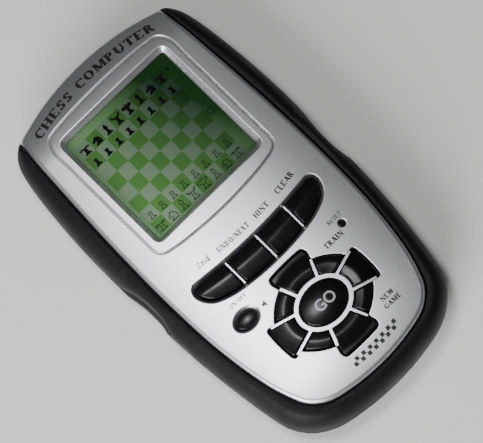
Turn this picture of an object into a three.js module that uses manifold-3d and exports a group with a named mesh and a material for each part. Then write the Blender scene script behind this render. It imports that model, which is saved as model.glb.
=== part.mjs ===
// A hand-held electronic chess computer: a crowned silver face with a square liquid crystal display, four
// keys in a curved row, an oval on/off key, a pin-hole reset and a ring of eight keys round an oval GO key,
// held in a black bumper over a black back with a sliding battery door.
// Millimetres. X runs across the face, Y up the face towards the display end, Z out of the face. The origin
// is the middle of the back, on the plane that it rests on.
import * as THREE from "three";
import { mergeVertices } from "three/addons/utils/BufferGeometryUtils.js";
import Module from "manifold-3d";

const wasm = await Module();
wasm.setup();

// ---- Driving dimensions -------------------------------------------------------------------------------

const GAP = 0.3; // clearance left between neighbouring pieces
const WALL = 2.2; // moulded wall of the casings
const OUTLINE_POINTS = 60; // points round the casing's outline

const HALF_WIDTH = 45; // the bumper's widest half
const HALF_LENGTH = 79; // from the origin to the upper end
const FOOT_END = -80.3; // the foot end, along Y
const PARTING = 7; // height of the joint between the back and the bumper
const BUMPER_SHOULDER = 13; // where the bumper's side starts to roll over
const BUMPER_CROWN = 22; // the height that the bumper's roll ends at
const BUMPER_ROLL = 7.4; // how far in the roll reaches
const BACK_ROLL = 7; // how far in the back's rounded edge reaches
const BACK_RISE = 6.2; // how high the back's rounded edge reaches

const FACE_HEIGHT = 25; // the face along its middle line
const FACE_CROWN = 2.6; // how much lower the face is at FACE_HALF
const FACE_HALF = 38.2; // the face's widest half
const FACE_CROWN_POWER = 2.4;
const TOP_DROP = 4.5; // how much the face falls at the display end
const TOP_DROP_FROM = 58;
const FOOT_DROP = 1.2; // how much the face falls at the key end
const FOOT_DROP_FROM = -56;
const FACE_FOOT = -73.5; // the face's lowest edge

const KEY_TRAVEL = 1.2;
const BOARD_BOTTOM = 14.9;
const BOARD_TOP = 16.3;
const MAT_TOP = 17.4;
const STEM_BOTTOM = BOARD_TOP + KEY_TRAVEL + 0.1; // a pressed key stops just short of the board
const CAP_BOTTOM = MAT_TOP + KEY_TRAVEL + 0.8;

const WINDOW_HALF = 23.9; // the display's visible square
const WINDOW_CENTRE = 36.3; // its middle, along Y
const WINDOW_BEVEL = 2.2; // how far the window's sloping sides spread
const LENS_TOP = 22.3;
const LENS_THICKNESS = 1.2;
const LCD_THICKNESS = 2.2;
const LCD_TOP = LENS_TOP - LENS_THICKNESS - GAP;

const PAD_CENTRE = -44.75; // middle of the ring of keys, along Y
const GO_HALF = [9.75, 7.4];
const HUB_HALF = [11.25, 8.8]; // outside of the silver ring round the GO key
const RING_HALF = [19, 14.9]; // outside of the slanting keys
const RIDGE_HALF = [15.2, 12.2]; // the crest that runs round the ring of keys
const SPOKE_WIDTH = 1;

const ROW_RIBS = [-14.2, 0, 14.2]; // the ribs between the four keys in the row
const RIB_WIDTH = 0.9;
const ROW_POCKET_DEPTH = 1.6;
const ROW_MARGIN = 1.35; // floor of the pocket that shows round the keys

const POWER_CENTRE = [-22.9, -29.9];
const POWER_POCKET_HALF = [5.6, 4.2];
const POWER_HALF = [4.5, 3.15];
const RESET_CENTRE = [24.4, -29.2];
const RESET_RADIUS = 1.4;

const CELL_RADIUS = 5.25; // three size AAA cells
const CELL_LENGTH = 43.5;
const CELL_NUB = 0.9;
const CELL_PITCH = 11.3;
const CELL_HEIGHT = 8; // height of the cells' axes
const BAY_HALF = 17.4;
const BAY_TOP = 13.6; // underside of the bay's roof
const BAY_Y = [-62.5, -9.5];
const BAY_WALL = 1.4;

const DOOR_HALF = 18;
const DOOR_THICKNESS = 1.8;
const DOOR_TOP_END = -8;
const DOOR_LIP = 5.2; // how far up the end of the case the door reaches

const CASE_SCREWS = [
  [-32.4, 60.5],
  [32.4, 60.5],
  [-25, -60.5],
  [25, -60.5],
];
const BOARD_SCREWS = [
  [-25.5, 3],
  [25.5, 3],
  [-23.5, -37],
  [23.5, -37],
];

// ---- Solids and meshes --------------------------------------------------------------------------------

function solidOf(geometry) {
  const bare = geometry.index ? geometry.toNonIndexed() : geometry.clone();
  bare.deleteAttribute("normal");
  bare.deleteAttribute("uv");
  const merged = mergeVertices(bare, 1e-4);
  return new wasm.Manifold(
    new wasm.Mesh({
      numProp: 3,
      vertProperties: merged.attributes.position.array,
      triVerts: new Uint32Array(merged.index.array),
    }),
  );
}

function geometryOf(solid) {
  const mesh = solid.getMesh();
  const geometry = new THREE.BufferGeometry();
  geometry.setAttribute("position", new THREE.BufferAttribute(mesh.vertProperties, 3));
  geometry.setIndex(new THREE.BufferAttribute(mesh.triVerts, 1));
  geometry.computeVertexNormals();
  return geometry;
}

const joined = (solids) => solids.reduce((all, next) => all.add(next));
const without = (solid, cutters) => cutters.reduce((left, cutter) => left.subtract(cutter), solid);

function box([x0, x1], [y0, y1], [z0, z1]) {
  const geometry = new THREE.BoxGeometry(x1 - x0, y1 - y0, z1 - z0);
  geometry.translate((x0 + x1) / 2, (y0 + y1) / 2, (z0 + z1) / 2);
  return solidOf(geometry);
}

// An upright cylinder, or a cone frustum where topRadius is given.
function post([x, y], radius, [z0, z1], sides = 20, topRadius = radius) {
  const geometry = new THREE.CylinderGeometry(topRadius, radius, z1 - z0, sides);
  geometry.rotateX(Math.PI / 2);
  geometry.translate(x, y, (z0 + z1) / 2);
  return solidOf(geometry);
}

// An upright prism with the plan outline given as points.
function prism(outline, [z0, z1]) {
  const geometry = new THREE.ExtrudeGeometry(new THREE.Shape(outline), {
    depth: z1 - z0,
    bevelEnabled: false,
  });
  geometry.translate(0, 0, z0);
  return solidOf(geometry);
}

function ellipse([x, y], [a, b], sides) {
  return new THREE.EllipseCurve(x, y, a, b, 0, 2 * Math.PI).getPoints(sides).slice(0, sides);
}

// A closed outline that mirrors a right-hand half, given from its upper middle point to its lower one.
function mirrored(half, count) {
  const right = half.map(([x, y]) => new THREE.Vector3(x, y, 0));
  const left = half.slice(1, -1).reverse().map(([x, y]) => new THREE.Vector3(-x, y, 0));
  const curve = new THREE.CatmullRomCurve3([...right, ...left], true, "centripetal");
  curve.arcLengthDivisions = 600;
  return curve
    .getSpacedPoints(count)
    .slice(0, count)
    .map((p) => new THREE.Vector2(p.x, p.y))
    .reverse();
}

// The outline moved in by a distance, along the average of each corner's two edge normals.
function inset(outline, distance) {
  const count = outline.length;
  return outline.map((point, i) => {
    const before = outline[(i + count - 1) % count];
    const after = outline[(i + 1) % count];
    const along = after.clone().sub(before).normalize();
    return new THREE.Vector2(point.x - along.y * distance, point.y + along.x * distance);
  });
}

// A closed solid through rings of equal count, from the lowest to the highest, with flat ends.
function loft(rings) {
  const count = rings[0].points.length;
  const positions = rings.flatMap(({ points, z }) => points.flatMap((p) => [p.x, p.y, z]));
  const faces = [];
  for (let level = 0; level + 1 < rings.length; level++) {
    for (let i = 0; i < count; i++) {
      const a = level * count + i;
      const b = level * count + ((i + 1) % count);
      faces.push(a, b, b + count, a, b + count, a + count);
    }
  }
  const last = (rings.length - 1) * count;
  for (const [a, b, c] of THREE.ShapeUtils.triangulateShape(rings[0].points, [])) faces.push(a, c, b);
  for (const [a, b, c] of THREE.ShapeUtils.triangulateShape(rings.at(-1).points, []))
    faces.push(last + a, last + b, last + c);
  const geometry = new THREE.BufferGeometry();
  geometry.setAttribute("position", new THREE.Float32BufferAttribute(positions, 3));
  geometry.setIndex(faces);
  return solidOf(geometry);
}

// Everything below the surface z = height(x, y), over a grid of lines, down to a flat floor.
function below(height, xs, ys, floor = -10) {
  const positions = [];
  for (const y of ys) for (const x of xs) positions.push(x, y, height(x, y));
  for (const y of ys) for (const x of xs) positions.push(x, y, floor);
  const columns = xs.length;
  const under = columns * ys.length;
  const faces = [];
  const quad = (a, b, c, d) => faces.push(a, b, c, a, c, d);
  for (let j = 0; j + 1 < ys.length; j++) {
    for (let i = 0; i + 1 < columns; i++) {
      const a = j * columns + i;
      quad(a, a + 1, a + 1 + columns, a + columns);
      quad(under + a, under + a + columns, under + a + 1 + columns, under + a + 1);
    }
  }
  for (let i = 0; i + 1 < columns; i++) {
    const far = (ys.length - 1) * columns + i;
    quad(under + i, under + i + 1, i + 1, i);
    quad(far, far + 1, under + far + 1, under + far);
  }
  for (let j = 0; j + 1 < ys.length; j++) {
    const near = j * columns;
    const right = near + columns - 1;
    quad(near, near + columns, under + near + columns, under + near);
    quad(right + columns, right, under + right, under + right + columns);
  }
  const geometry = new THREE.BufferGeometry();
  geometry.setAttribute("position", new THREE.Float32BufferAttribute(positions, 3));
  geometry.setIndex(faces);
  return solidOf(geometry);
}

function steps(from, to, count) {
  return Array.from({ length: count + 1 }, (_, i) => from + ((to - from) * i) / count);
}

// ---- Outlines and surfaces of the casing --------------------------------------------------------------

const outerHalf = [
  [0, HALF_LENGTH],
  [18, 77.4],
  [33, 73.5],
  [37.6, 71.9],
  [40.3, 68.4],
  [41.8, 63],
  [43.5, 50],
  [44.8, 32],
  [HALF_WIDTH, 14],
  [44.7, -6],
  [43.8, -26],
  [41.6, -46],
  [39.9, -57],
  [38.2, -64.6],
  [33.9, -71.4],
  [26.4, -76.5],
  [14.2, -79.3],
  [0, FOOT_END],
];
const outerOutline = mirrored(outerHalf, OUTLINE_POINTS);
const backOutline = mirrored(outerHalf, 2 * OUTLINE_POINTS); // finer, for the rounded back

// The sides and foot of the silver face. It runs past the case's upper end, which cuts it off square.
const faceSides = mirrored(
  [
    [0, 90],
    [25, 89.5],
    [34.3, 86],
    [35, 72],
    [36.4, 50],
    [37.9, 20],
    [FACE_HALF, -8],
    [37.2, -30],
    [34.2, -50],
    [31.4, -59.6],
    [28.6, -65.4],
    [23.1, -69.9],
    [13, -72.5],
    [0, FACE_FOOT],
  ],
  OUTLINE_POINTS,
);

// The face: a crown across it, falling away at both ends.
function faceHeight(x, y) {
  const crown = FACE_CROWN * Math.abs(x / FACE_HALF) ** FACE_CROWN_POWER;
  const top = Math.max(0, (y - TOP_DROP_FROM) / (HALF_LENGTH - TOP_DROP_FROM));
  const foot = Math.max(0, (y - FOOT_DROP_FROM) / (FACE_FOOT - FOOT_DROP_FROM));
  return FACE_HEIGHT - crown - TOP_DROP * top ** 2 - FOOT_DROP * foot ** 2;
}

const FACE_XS = [-50, -38, -32, -25, -16, 0, 16, 25, 32, 38, 50];
const FACE_YS = [-90, -74, -66, FOOT_DROP_FROM, TOP_DROP_FROM, 65, 72, 80, 92];
const belowFace = (depth) => below((x, y) => faceHeight(x, y) - depth, FACE_XS, FACE_YS);

// The whole case's upper part, with the bumper's roll, or its coarser inside where moved in by a wall.
function bumperStack(inward, bottom) {
  const rings = [{ points: inset(outerOutline, inward), z: bottom }];
  for (const degrees of inward > 1 ? [0, 47, 90] : [0, 25, 47, 68, 90]) {
    const turn = THREE.MathUtils.degToRad(degrees);
    rings.push({
      points: inset(outerOutline, inward + BUMPER_ROLL * (1 - Math.cos(turn))),
      z: BUMPER_SHOULDER + (BUMPER_CROWN - BUMPER_SHOULDER - inward) * Math.sin(turn),
    });
  }
  return loft(rings);
}

// The back's outside, or its coarser inside where moved in by a wall.
function backStack(inward, top) {
  const outline = inward > 1 ? outerOutline : backOutline;
  const rings = [];
  for (const degrees of inward > 1 ? [90, 46, 0] : [90, 68, 46, 24, 0]) {
    const turn = THREE.MathUtils.degToRad(degrees);
    rings.push({
      points: inset(outline, inward + BACK_ROLL * (1 - Math.cos(turn))),
      z: inward + (BACK_RISE - inward) * (1 - Math.sin(turn)),
    });
  }
  rings.push({ points: inset(outline, inward), z: top });
  return loft(rings);
}

// The thumb scoops that waist the case, as upright cutters, grown where they shape the inside of a wall.
function thumbScoop(side, grown) {
  const curve = new THREE.CatmullRomCurve3(
    [
      [49, 22],
      [45.6, 14.6],
      [44.1, 9],
      [42.9, 3],
      [42.6, -3],
      [42.9, -8],
      [44.6, -13.4],
      [49, -21],
    ].map(([x, y]) => new THREE.Vector3(side * x, y, 0)),
  );
  const points = curve.getPoints(14).map((p) => new THREE.Vector2(p.x, p.y));
  const outline = side > 0 ? points : points.reverse();
  return prism(inset(outline, -grown), [-5, 40]);
}
const thumbScoops = (grown = 0) => joined([thumbScoop(-1, grown), thumbScoop(1, grown)]);
const REAR_STANDS_OUT = 0.9; // how far the back stands out past the bumper in the scoops

const facePrism = (inward, z) =>
  prism(inset(faceSides, inward), z).intersect(prism(inset(outerOutline, inward), z));

// ---- Keys: plan shapes, as prisms that the face is cut with and the keys are cut from -----------------

const rowPocketOutline = mirrored(
  [
    [0, -9.7],
    [14, -9.2],
    [24, -8.2],
    [28.2, -8],
    [30.2, -10.4],
    [29.8, -14],
    [27, -17.9],
    [20.5, -20.8],
    [10.5, -22.5],
    [0, -23],
  ],
  44,
);
const THROUGH = [12, 30]; // a height range that runs right through the face

const rowKeysPrism = (gap) => {
  const ribs = ROW_RIBS.map((x) => {
    const half = RIB_WIDTH / 2 + gap;
    return box([x - half, x + half], [-30, 0], THROUGH);
  });
  return without(prism(inset(rowPocketOutline, ROW_MARGIN + gap), THROUGH), ribs);
};

// The ring of eight keys: an oval with two crossing blocks, less the hub and eight spokes.
const SPOKES = [
  { at: [13.7, 5.15], degrees: 17.5 },
  { at: [6.4, 11.2], degrees: 64 },
];

function block(halfX, halfY, corner) {
  const shape = new THREE.Shape();
  shape.moveTo(halfX, -halfY + corner);
  shape.lineTo(halfX, halfY - corner);
  shape.quadraticCurveTo(halfX, halfY, halfX - corner, halfY);
  shape.lineTo(-halfX + corner, halfY);
  shape.quadraticCurveTo(-halfX, halfY, -halfX, halfY - corner);
  shape.lineTo(-halfX, -halfY + corner);
  shape.quadraticCurveTo(-halfX, -halfY, -halfX + corner, -halfY);
  shape.lineTo(halfX - corner, -halfY);
  shape.quadraticCurveTo(halfX, -halfY, halfX, -halfY + corner);
  return shape.getPoints(3).slice(0, -1);
}

function spoke({ at, degrees }, gap, flipX, flipY) {
  const geometry = new THREE.BoxGeometry(14, SPOKE_WIDTH + 2 * gap, THROUGH[1] - THROUGH[0]);
  geometry.rotateZ(THREE.MathUtils.degToRad(flipX * flipY * degrees));
  geometry.translate(flipX * at[0], flipY * at[1], (THROUGH[0] + THROUGH[1]) / 2);
  return solidOf(geometry);
}

function ringKeysPrism(gap) {
  const grown = (half, by) => [half[0] + by, half[1] + by];
  const oval = prism(ellipse([0, 0], grown(RING_HALF, -gap), 40), THROUGH);
  const upright = prism(block(8.1 - gap, 19.2 - gap, 1.8), THROUGH);
  const across = prism(block(21.3 - gap, 6.7 - gap, 1.8), THROUGH);
  const hub = prism(ellipse([0, 0], grown(HUB_HALF, gap), 32), THROUGH);
  const spokes = SPOKES.flatMap((one) =>
    [1, -1].flatMap((flipX) => [1, -1].map((flipY) => spoke(one, gap, flipX, flipY))),
  );
  return without(joined([oval, upright, across]), [hub, ...spokes]).translate([0, PAD_CENTRE, 0]);
}

const goPrism = (gap) =>
  prism(ellipse([0, PAD_CENTRE], [GO_HALF[0] - gap, GO_HALF[1] - gap], 28), THROUGH);
const powerPrism = (gap) =>
  prism(ellipse(POWER_CENTRE, [POWER_HALF[0] - gap, POWER_HALF[1] - gap], 20), THROUGH);
const resetPrism = (gap) => post(RESET_CENTRE, RESET_RADIUS - gap, THROUGH, 14);

// ---- Key tops -----------------------------------------------------------------------------------------

const KEY_EDGE_RISE = 0.5; // how far the edge of a key stands above the face
const KEY_CREST_RISE = 1.1; // how far its crest stands above its edge

const rowCrest = (x) => -16.1 + 2.6 * (x / 26) ** 2;
const rowTop = (x, y) =>
  faceHeight(x, y) +
  KEY_EDGE_RISE +
  KEY_CREST_RISE * (1 - Math.min(1, Math.abs((y - rowCrest(x)) / 5.6) ** 1.2));

function ringTop(x, y) {
  const radius = Math.hypot(x / RIDGE_HALF[0], (y - PAD_CENTRE) / RIDGE_HALF[1]);
  const fall = Math.min(1, Math.abs((radius - 1) / 0.42) ** 1.2);
  return faceHeight(x, y) + KEY_EDGE_RISE + KEY_CREST_RISE * (1 - fall);
}

function goTop(x, y) {
  const radius = Math.hypot(x / GO_HALF[0], (y - PAD_CENTRE) / GO_HALF[1]);
  return faceHeight(x, y) + 0.4 + 1.3 * (1 - radius ** 2);
}

const powerTop = (x, y) => faceHeight(x, y) + 0.3;
const resetTop = (x, y) => faceHeight(x, y) - 0.8;

const aboveCap = box([-60, 60], [-90, 90], [CAP_BOTTOM, 40]);
const stem = (at, radius) => post(at, radius, [STEM_BOTTOM, CAP_BOTTOM + 0.5], 8);

function keyOf(capPrism, topHeight, xs, ys, stemAt, stemRadius) {
  return capPrism
    .intersect(below(topHeight, xs, ys))
    .intersect(aboveCap)
    .add(stem(stemAt, stemRadius));
}

const middleOf = (solid) => {
  const { min, max } = solid.boundingBox();
  return [(min[0] + max[0]) / 2, (min[1] + max[1]) / 2];
};

const ROW_KEY_NAMES = ["key_second", "key_undo_next", "key_hint", "key_clear"];
const RING_KEY_NAMES = [
  "key_right",
  "key_train",
  "key_up",
  "key_sound",
  "key_left",
  "key_lower_left",
  "key_down",
  "key_new_game",
];

function rowKeys() {
  const pieces = rowKeysPrism(GAP).decompose();
  pieces.sort((a, b) => middleOf(a)[0] - middleOf(b)[0]);
  return pieces.map((piece, i) => {
    const [x] = middleOf(piece);
    const { min, max } = piece.boundingBox();
    const columns = steps(min[0] - 1, max[0] + 1, 3);
    const solid = keyOf(piece, rowTop, columns, steps(-24, -6, 6), [x, rowCrest(x)], 2.6);
    return [ROW_KEY_NAMES[i], solid];
  });
}

// Keys of the ring, named by the eighth of a turn that each lies on, from +X anticlockwise.
function ringKeys() {
  return ringKeysPrism(GAP)
    .decompose()
    .map((piece) => {
      const [x, y] = middleOf(piece);
      const turn = Math.atan2((y - PAD_CENTRE) * (RING_HALF[0] / RING_HALF[1]), x);
      const eighth = (Math.round(turn / (Math.PI / 4)) + 8) % 8;
      const { min, max } = piece.boundingBox();
      const xs = steps(min[0] - 1, max[0] + 1, 4);
      const ys = steps(min[1] - 1, max[1] + 1, 4);
      const solid = keyOf(piece, ringTop, xs, ys, [x, y], 2);
      return [RING_KEY_NAMES[eighth], solid];
    });
}

const capRange = ([x, y], [a, b], count) => [
  steps(x - a - 1, x + a + 1, count),
  steps(y - b - 1, y + b + 1, count),
];
const singleKeys = () => [
  ["key_go", keyOf(goPrism(GAP), goTop, ...capRange([0, PAD_CENTRE], GO_HALF, 7), [0, PAD_CENTRE], 3)],
  [
    "key_on_off",
    keyOf(powerPrism(GAP), powerTop, ...capRange(POWER_CENTRE, POWER_HALF, 3), POWER_CENTRE, 2.2),
  ],
  ["key_reset", keyOf(resetPrism(GAP), resetTop, ...capRange(RESET_CENTRE, [1.4, 1.4], 1), RESET_CENTRE, 1)],
];

const keySolids = [...rowKeys(), ...ringKeys(), ...singleKeys()];

// ---- Casings ------------------------------------------------------------------------------------------

const bezelOutline = mirrored(
  [
    [0, 67.6],
    [12, 67.3],
    [22, 66.6],
    [26.5, 65.6],
    [28.8, 62],
    [29, 52],
    [29, 20],
    [28.9, 11],
    [28.3, 8.6],
    [26.6, 7],
    [22, 5.7],
    [12, 4.5],
    [0, 4],
  ],
  44,
);
const BEZEL_LEDGE = 1.2; // depth of the seat that the bezel lies in
const BEZEL_CORE = 2.8; // width of the bezel's flange, from its outline to its skirt

function squareWindow(half, z, corner = 2) {
  const outline = block(half, half, corner).map((p) => new THREE.Vector2(p.x, p.y + WINDOW_CENTRE));
  return { points: outline, z };
}

function screenBezel() {
  const flange = prism(inset(bezelOutline, 0.25), [LENS_TOP + GAP, 40]).intersect(belowFace(0));
  const seat = without(prism(inset(bezelOutline, -2), [0, 40]), [
    prism(inset(bezelOutline, BEZEL_CORE + 0.3), [0, 40]),
  ]);
  const rise = 8; // the sloping window is cut well past the face
  const slope = WINDOW_BEVEL / (faceHeight(WINDOW_HALF, 0) - LENS_TOP);
  const window = loft([
    squareWindow(WINDOW_HALF, LENS_TOP - 1),
    squareWindow(WINDOW_HALF, LENS_TOP + 0.5),
    squareWindow(WINDOW_HALF + slope * rise * 0.5, LENS_TOP + rise * 0.5, 3),
  ]);
  return without(flange, [seat.intersect(belowFace(BEZEL_LEDGE - GAP)), window]);
}

function frontShell() {
  const outside = facePrism(0, [PARTING + GAP, 40]).intersect(belowFace(0));
  const rowBlock = prism(inset(rowPocketOutline, -1.2), [0, 40]).subtract(belowFace(3.2));
  const powerBlock = post(POWER_CENTRE, 7, [0, 40], 16).subtract(belowFace(2.9));
  const cavity = without(facePrism(WALL, [0, 40]).intersect(belowFace(WALL)), [rowBlock, powerBlock]);
  const caseBosses = CASE_SCREWS.map((at) => post(at, 3.1, [PARTING + GAP, 22], 14));
  const boardPosts = BOARD_SCREWS.map((at) => post(at, 2.2, [BOARD_TOP + GAP, 23], 14));
  const bosses = joined([...caseBosses, ...boardPosts])
    .intersect(belowFace(1))
    .intersect(facePrism(0.5, [0, 40]));
  const casePilots = CASE_SCREWS.map((at) => post(at, 1.45, [0, 18.5], 10));
  const boardPilots = BOARD_SCREWS.map((at) => post(at, 1.1, [0, 20.5], 10));

  const rowPocket = without(
    prism(rowPocketOutline, [0, 40]).subtract(belowFace(ROW_POCKET_DEPTH)),
    ROW_RIBS.map((x) => {
      const half = RIB_WIDTH / 2;
      const ends = [Math.abs(x) < 1 ? -21.8 : -20.6, Math.abs(x) < 1 ? -10.9 : -10.4];
      return box([x - half, x + half], ends, [0, 40]).intersect(belowFace(0.2));
    }),
  );
  const powerPocket = prism(ellipse(POWER_CENTRE, POWER_POCKET_HALF, 20), [0, 40]).subtract(belowFace(1.3));
  const bezelSeat = prism(bezelOutline, [0, 40]).subtract(belowFace(BEZEL_LEDGE));
  const bezelHole = prism(inset(bezelOutline, BEZEL_CORE), [0, 40]);
  return without(outside.subtract(cavity).add(bosses), [
    ...casePilots,
    ...boardPilots,
    rowPocket,
    powerPocket,
    bezelSeat,
    bezelHole,
    rowKeysPrism(0),
    ringKeysPrism(0),
    goPrism(0),
    powerPrism(0),
    resetPrism(0),
  ]);
}

function gripBand() {
  const outside = bumperStack(0, PARTING + GAP).intersect(belowFace(0.25));
  const hollow = bumperStack(WALL, 0).intersect(belowFace(WALL + 0.25));
  const upperEnd = box([-34.4, 34.4], [60, 95], [0, 40]); // this stretch belongs to the face
  return without(outside, [
    hollow.subtract(thumbScoops(WALL)),
    facePrism(-GAP - 0.05, [0, 40]),
    thumbScoops(),
    upperEnd,
  ]);
}

const doorRegion = (gap, top) =>
  box([-DOOR_HALF - gap, DOOR_HALF + gap], [-95, DOOR_TOP_END + gap], [-1, top]);
const TONGUE_Z = [1, 1.6];
const TONGUE_REACH = 1.3;

function doorTongues(gap, [y0, y1]) {
  return [-1, 1].map((side) => {
    const x0 = side * (DOOR_HALF - 0.5);
    const x1 = side * (DOOR_HALF + TONGUE_REACH + gap);
    return box([Math.min(x0, x1), Math.max(x0, x1)], [y0, y1], [TONGUE_Z[0] - gap, TONGUE_Z[1] + gap]);
  });
}

function batteryDoor() {
  const skin = backStack(0, DOOR_LIP).subtract(backStack(DOOR_THICKNESS, DOOR_LIP + 1));
  const plate = skin.intersect(doorRegion(0, DOOR_LIP)).intersect(box([-60, 60], [-95, 95], [0.15, 40]));
  const thumbRecess = post([0, -22], 7, [-1, 0.95], 24);
  const ridges = [-3, 0, 3].map((y) => box([-4.5, 4.5], [-22.5 + y, -21.5 + y], [0.3, 1.2]));
  return joined([plate.subtract(thumbRecess), ...ridges, ...doorTongues(0, [-64, -16])]);
}

const BUZZER_CENTRE = [0, 40];
const SOUND_HOLES = [new THREE.Vector2(0, 0), ...ellipse([0, 0], [3.2, 3.2], 6)].map((hole) => [
  hole.x + BUZZER_CENTRE[0],
  hole.y + BUZZER_CENTRE[1],
]);

function rearShell() {
  const hollow = backStack(WALL, PARTING + 1).subtract(thumbScoops(WALL - REAR_STANDS_OUT));
  const shell = backStack(0, PARTING).subtract(hollow);
  const lip = without(
    joined([
      prism(inset(outerOutline, WALL + GAP), [PARTING - 1.5, PARTING + 2]),
      prism(inset(outerOutline, WALL - 0.5), [PARTING - 1.5, PARTING - 0.5]),
    ]),
    [
      prism(inset(outerOutline, WALL + 1.5), [0, 40]),
      thumbScoops(WALL + GAP),
      facePrism(-GAP - 0.4, [PARTING - 0.2, 40]),
    ],
  );
  const endBlock = backStack(0.2, PARTING - 0.5).intersect(
    box([-21, 21], [-95, BAY_Y[0] + 0.5], [0, PARTING]),
  );
  const bayAcross = BAY_HALF + BAY_WALL;
  const bayAlong = [BAY_Y[0] - BAY_WALL, BAY_Y[1] + BAY_WALL];
  const bayOutside = box([-bayAcross - 2, bayAcross + 2], bayAlong, [0.5, 3.4]);
  const bayTower = box([-bayAcross, bayAcross], bayAlong, [1, BAY_TOP + 1]);
  const screwTubes = CASE_SCREWS.map((at) => post(at, 3.9, [0.5, PARTING], 14));
  const buzzerRing = post(BUZZER_CENTRE, 12.2, [1.5, 4.2], 20).subtract(
    post(BUZZER_CENTRE, 10.9, [0, 9], 20),
  );
  const body = joined([shell, lip, endBlock, bayOutside, bayTower, ...screwTubes, buzzerRing]);

  const bay = box([-BAY_HALF, BAY_HALF], BAY_Y, [-1, BAY_TOP]);
  const endHollow = box([-18, 18], [-73.5, BAY_Y[0] - BAY_WALL - 1.2], [4.4, 9]);
  const doorRoom = doorRegion(GAP, DOOR_LIP + GAP).subtract(
    backStack(DOOR_THICKNESS + GAP, 30).intersect(box([-60, 60], [-95, 95], [DOOR_THICKNESS + GAP, 40])),
  );
  const counterbores = CASE_SCREWS.map((at) => post(at, 2.7, [-1, 5.5], 16));
  const shankHoles = CASE_SCREWS.map((at) => post(at, 1.6, [-1, 12], 12));
  const soundHoles = SOUND_HOLES.map((at) => post(at, 0.75, [-1, 3], 8));
  const leadSlots = [
    box([-CELL_PITCH - 1.1, -CELL_PITCH + 1.1], [BAY_Y[1] - 1, BAY_Y[1] + 6], [9, 11.2]),
    box([CELL_PITCH - 1.1, CELL_PITCH + 1.1], [BAY_Y[0] - 6, BAY_Y[0] + 1], [9, 11.2]),
  ];
  return without(body, [
    thumbScoops(-REAR_STANDS_OUT),
    bay,
    endHollow,
    doorRoom,
    ...doorTongues(GAP, [-95, -15.5]),
    ...counterbores,
    ...shankHoles,
    ...soundHoles,
    ...leadSlots,
  ]);
}

// ---- Display ------------------------------------------------------------------------------------------

const LCD_HALF = 26; // the display's glass
const displayBox = (half, z) => box([-half, half], [WINDOW_CENTRE - half, WINDOW_CENTRE + half], z);
const LCD_Z = [LCD_TOP - LCD_THICKNESS, LCD_TOP];

const lensWindow = () => displayBox(25.6, [LENS_TOP - LENS_THICKNESS, LENS_TOP]);
const lcdPanel = () => displayBox(LCD_HALF, LCD_Z);
const lcdReflector = () => displayBox(LCD_HALF - 2.5, [LCD_Z[0] - GAP - 0.4, LCD_Z[0] - GAP]);
const lcdFrame = () =>
  without(displayBox(LCD_HALF + 1.8, [BOARD_TOP + GAP, LCD_TOP]), [displayBox(LCD_HALF + GAP, [0, 40])]);
function zebraStrip(side) {
  const y = WINDOW_CENTRE + side * (LCD_HALF - 1.3);
  return box([-LCD_HALF + 1, LCD_HALF - 1], [y - 0.8, y + 0.8], [BOARD_TOP + GAP, LCD_Z[0] - GAP]);
}

// ---- Electronics --------------------------------------------------------------------------------------

const boardOutline = [
  [-27.9, 65],
  [-29.5, 53],
  [-29.5, -44],
  [-20, -56],
  [-20, -66],
  [20, -66],
  [20, -56],
  [29.5, -44],
  [29.5, 53],
  [27.9, 65],
].map(([x, y]) => new THREE.Vector2(x, y));

const boardHoles = () => BOARD_SCREWS.map((at) => post(at, 1.5, [0, 40], 8));
const mainBoard = () => without(prism(boardOutline, [BOARD_BOTTOM, BOARD_TOP]), boardHoles());

const belowCaps = box([-60, 60], [-90, 90], [0, CAP_BOTTOM - 0.1]);
const keyStems = keySolids.map(([, solid]) => middleOf(solid.intersect(belowCaps)));

function keypadMat() {
  const sheet = box([-29, 29], [-65.5, 0.5], [BOARD_TOP + GAP, MAT_TOP]).intersect(
    prism(boardOutline, [0, 40]),
  );
  const stemHoles = keyStems.map((at) => post(at, 3.7, [0, 40], 10));
  const postHoles = BOARD_SCREWS.map((at) => post(at, 2.6, [0, 40], 8));
  return without(sheet, [...stemHoles, ...postHoles]);
}

const UNDER_BOARD = BOARD_BOTTOM - GAP;
const controllerBlob = () => post([4, 22], 6, [UNDER_BOARD - 1.8, UNDER_BOARD], 16, 7.5);

function crystalCan() {
  const geometry = new THREE.CylinderGeometry(1.5, 1.5, 8, 14);
  geometry.translate(17, 18, UNDER_BOARD - 1.7);
  return solidOf(geometry);
}

const capacitor = (at) => post(at, 2.5, [UNDER_BOARD - 7, UNDER_BOARD], 12);
const buzzerDisc = () => post(BUZZER_CENTRE, 10.3, [WALL + GAP, WALL + GAP + 0.8], 20);

// A wire along a smooth curve through points.
function wire(points, radius = 0.55) {
  const path = new THREE.CatmullRomCurve3(points.map((p) => new THREE.Vector3(...p)));
  const section = new THREE.Shape(ellipse([0, 0], [radius, radius], 6));
  return solidOf(new THREE.ExtrudeGeometry(section, { steps: 9, extrudePath: path, bevelEnabled: false }));
}

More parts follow.
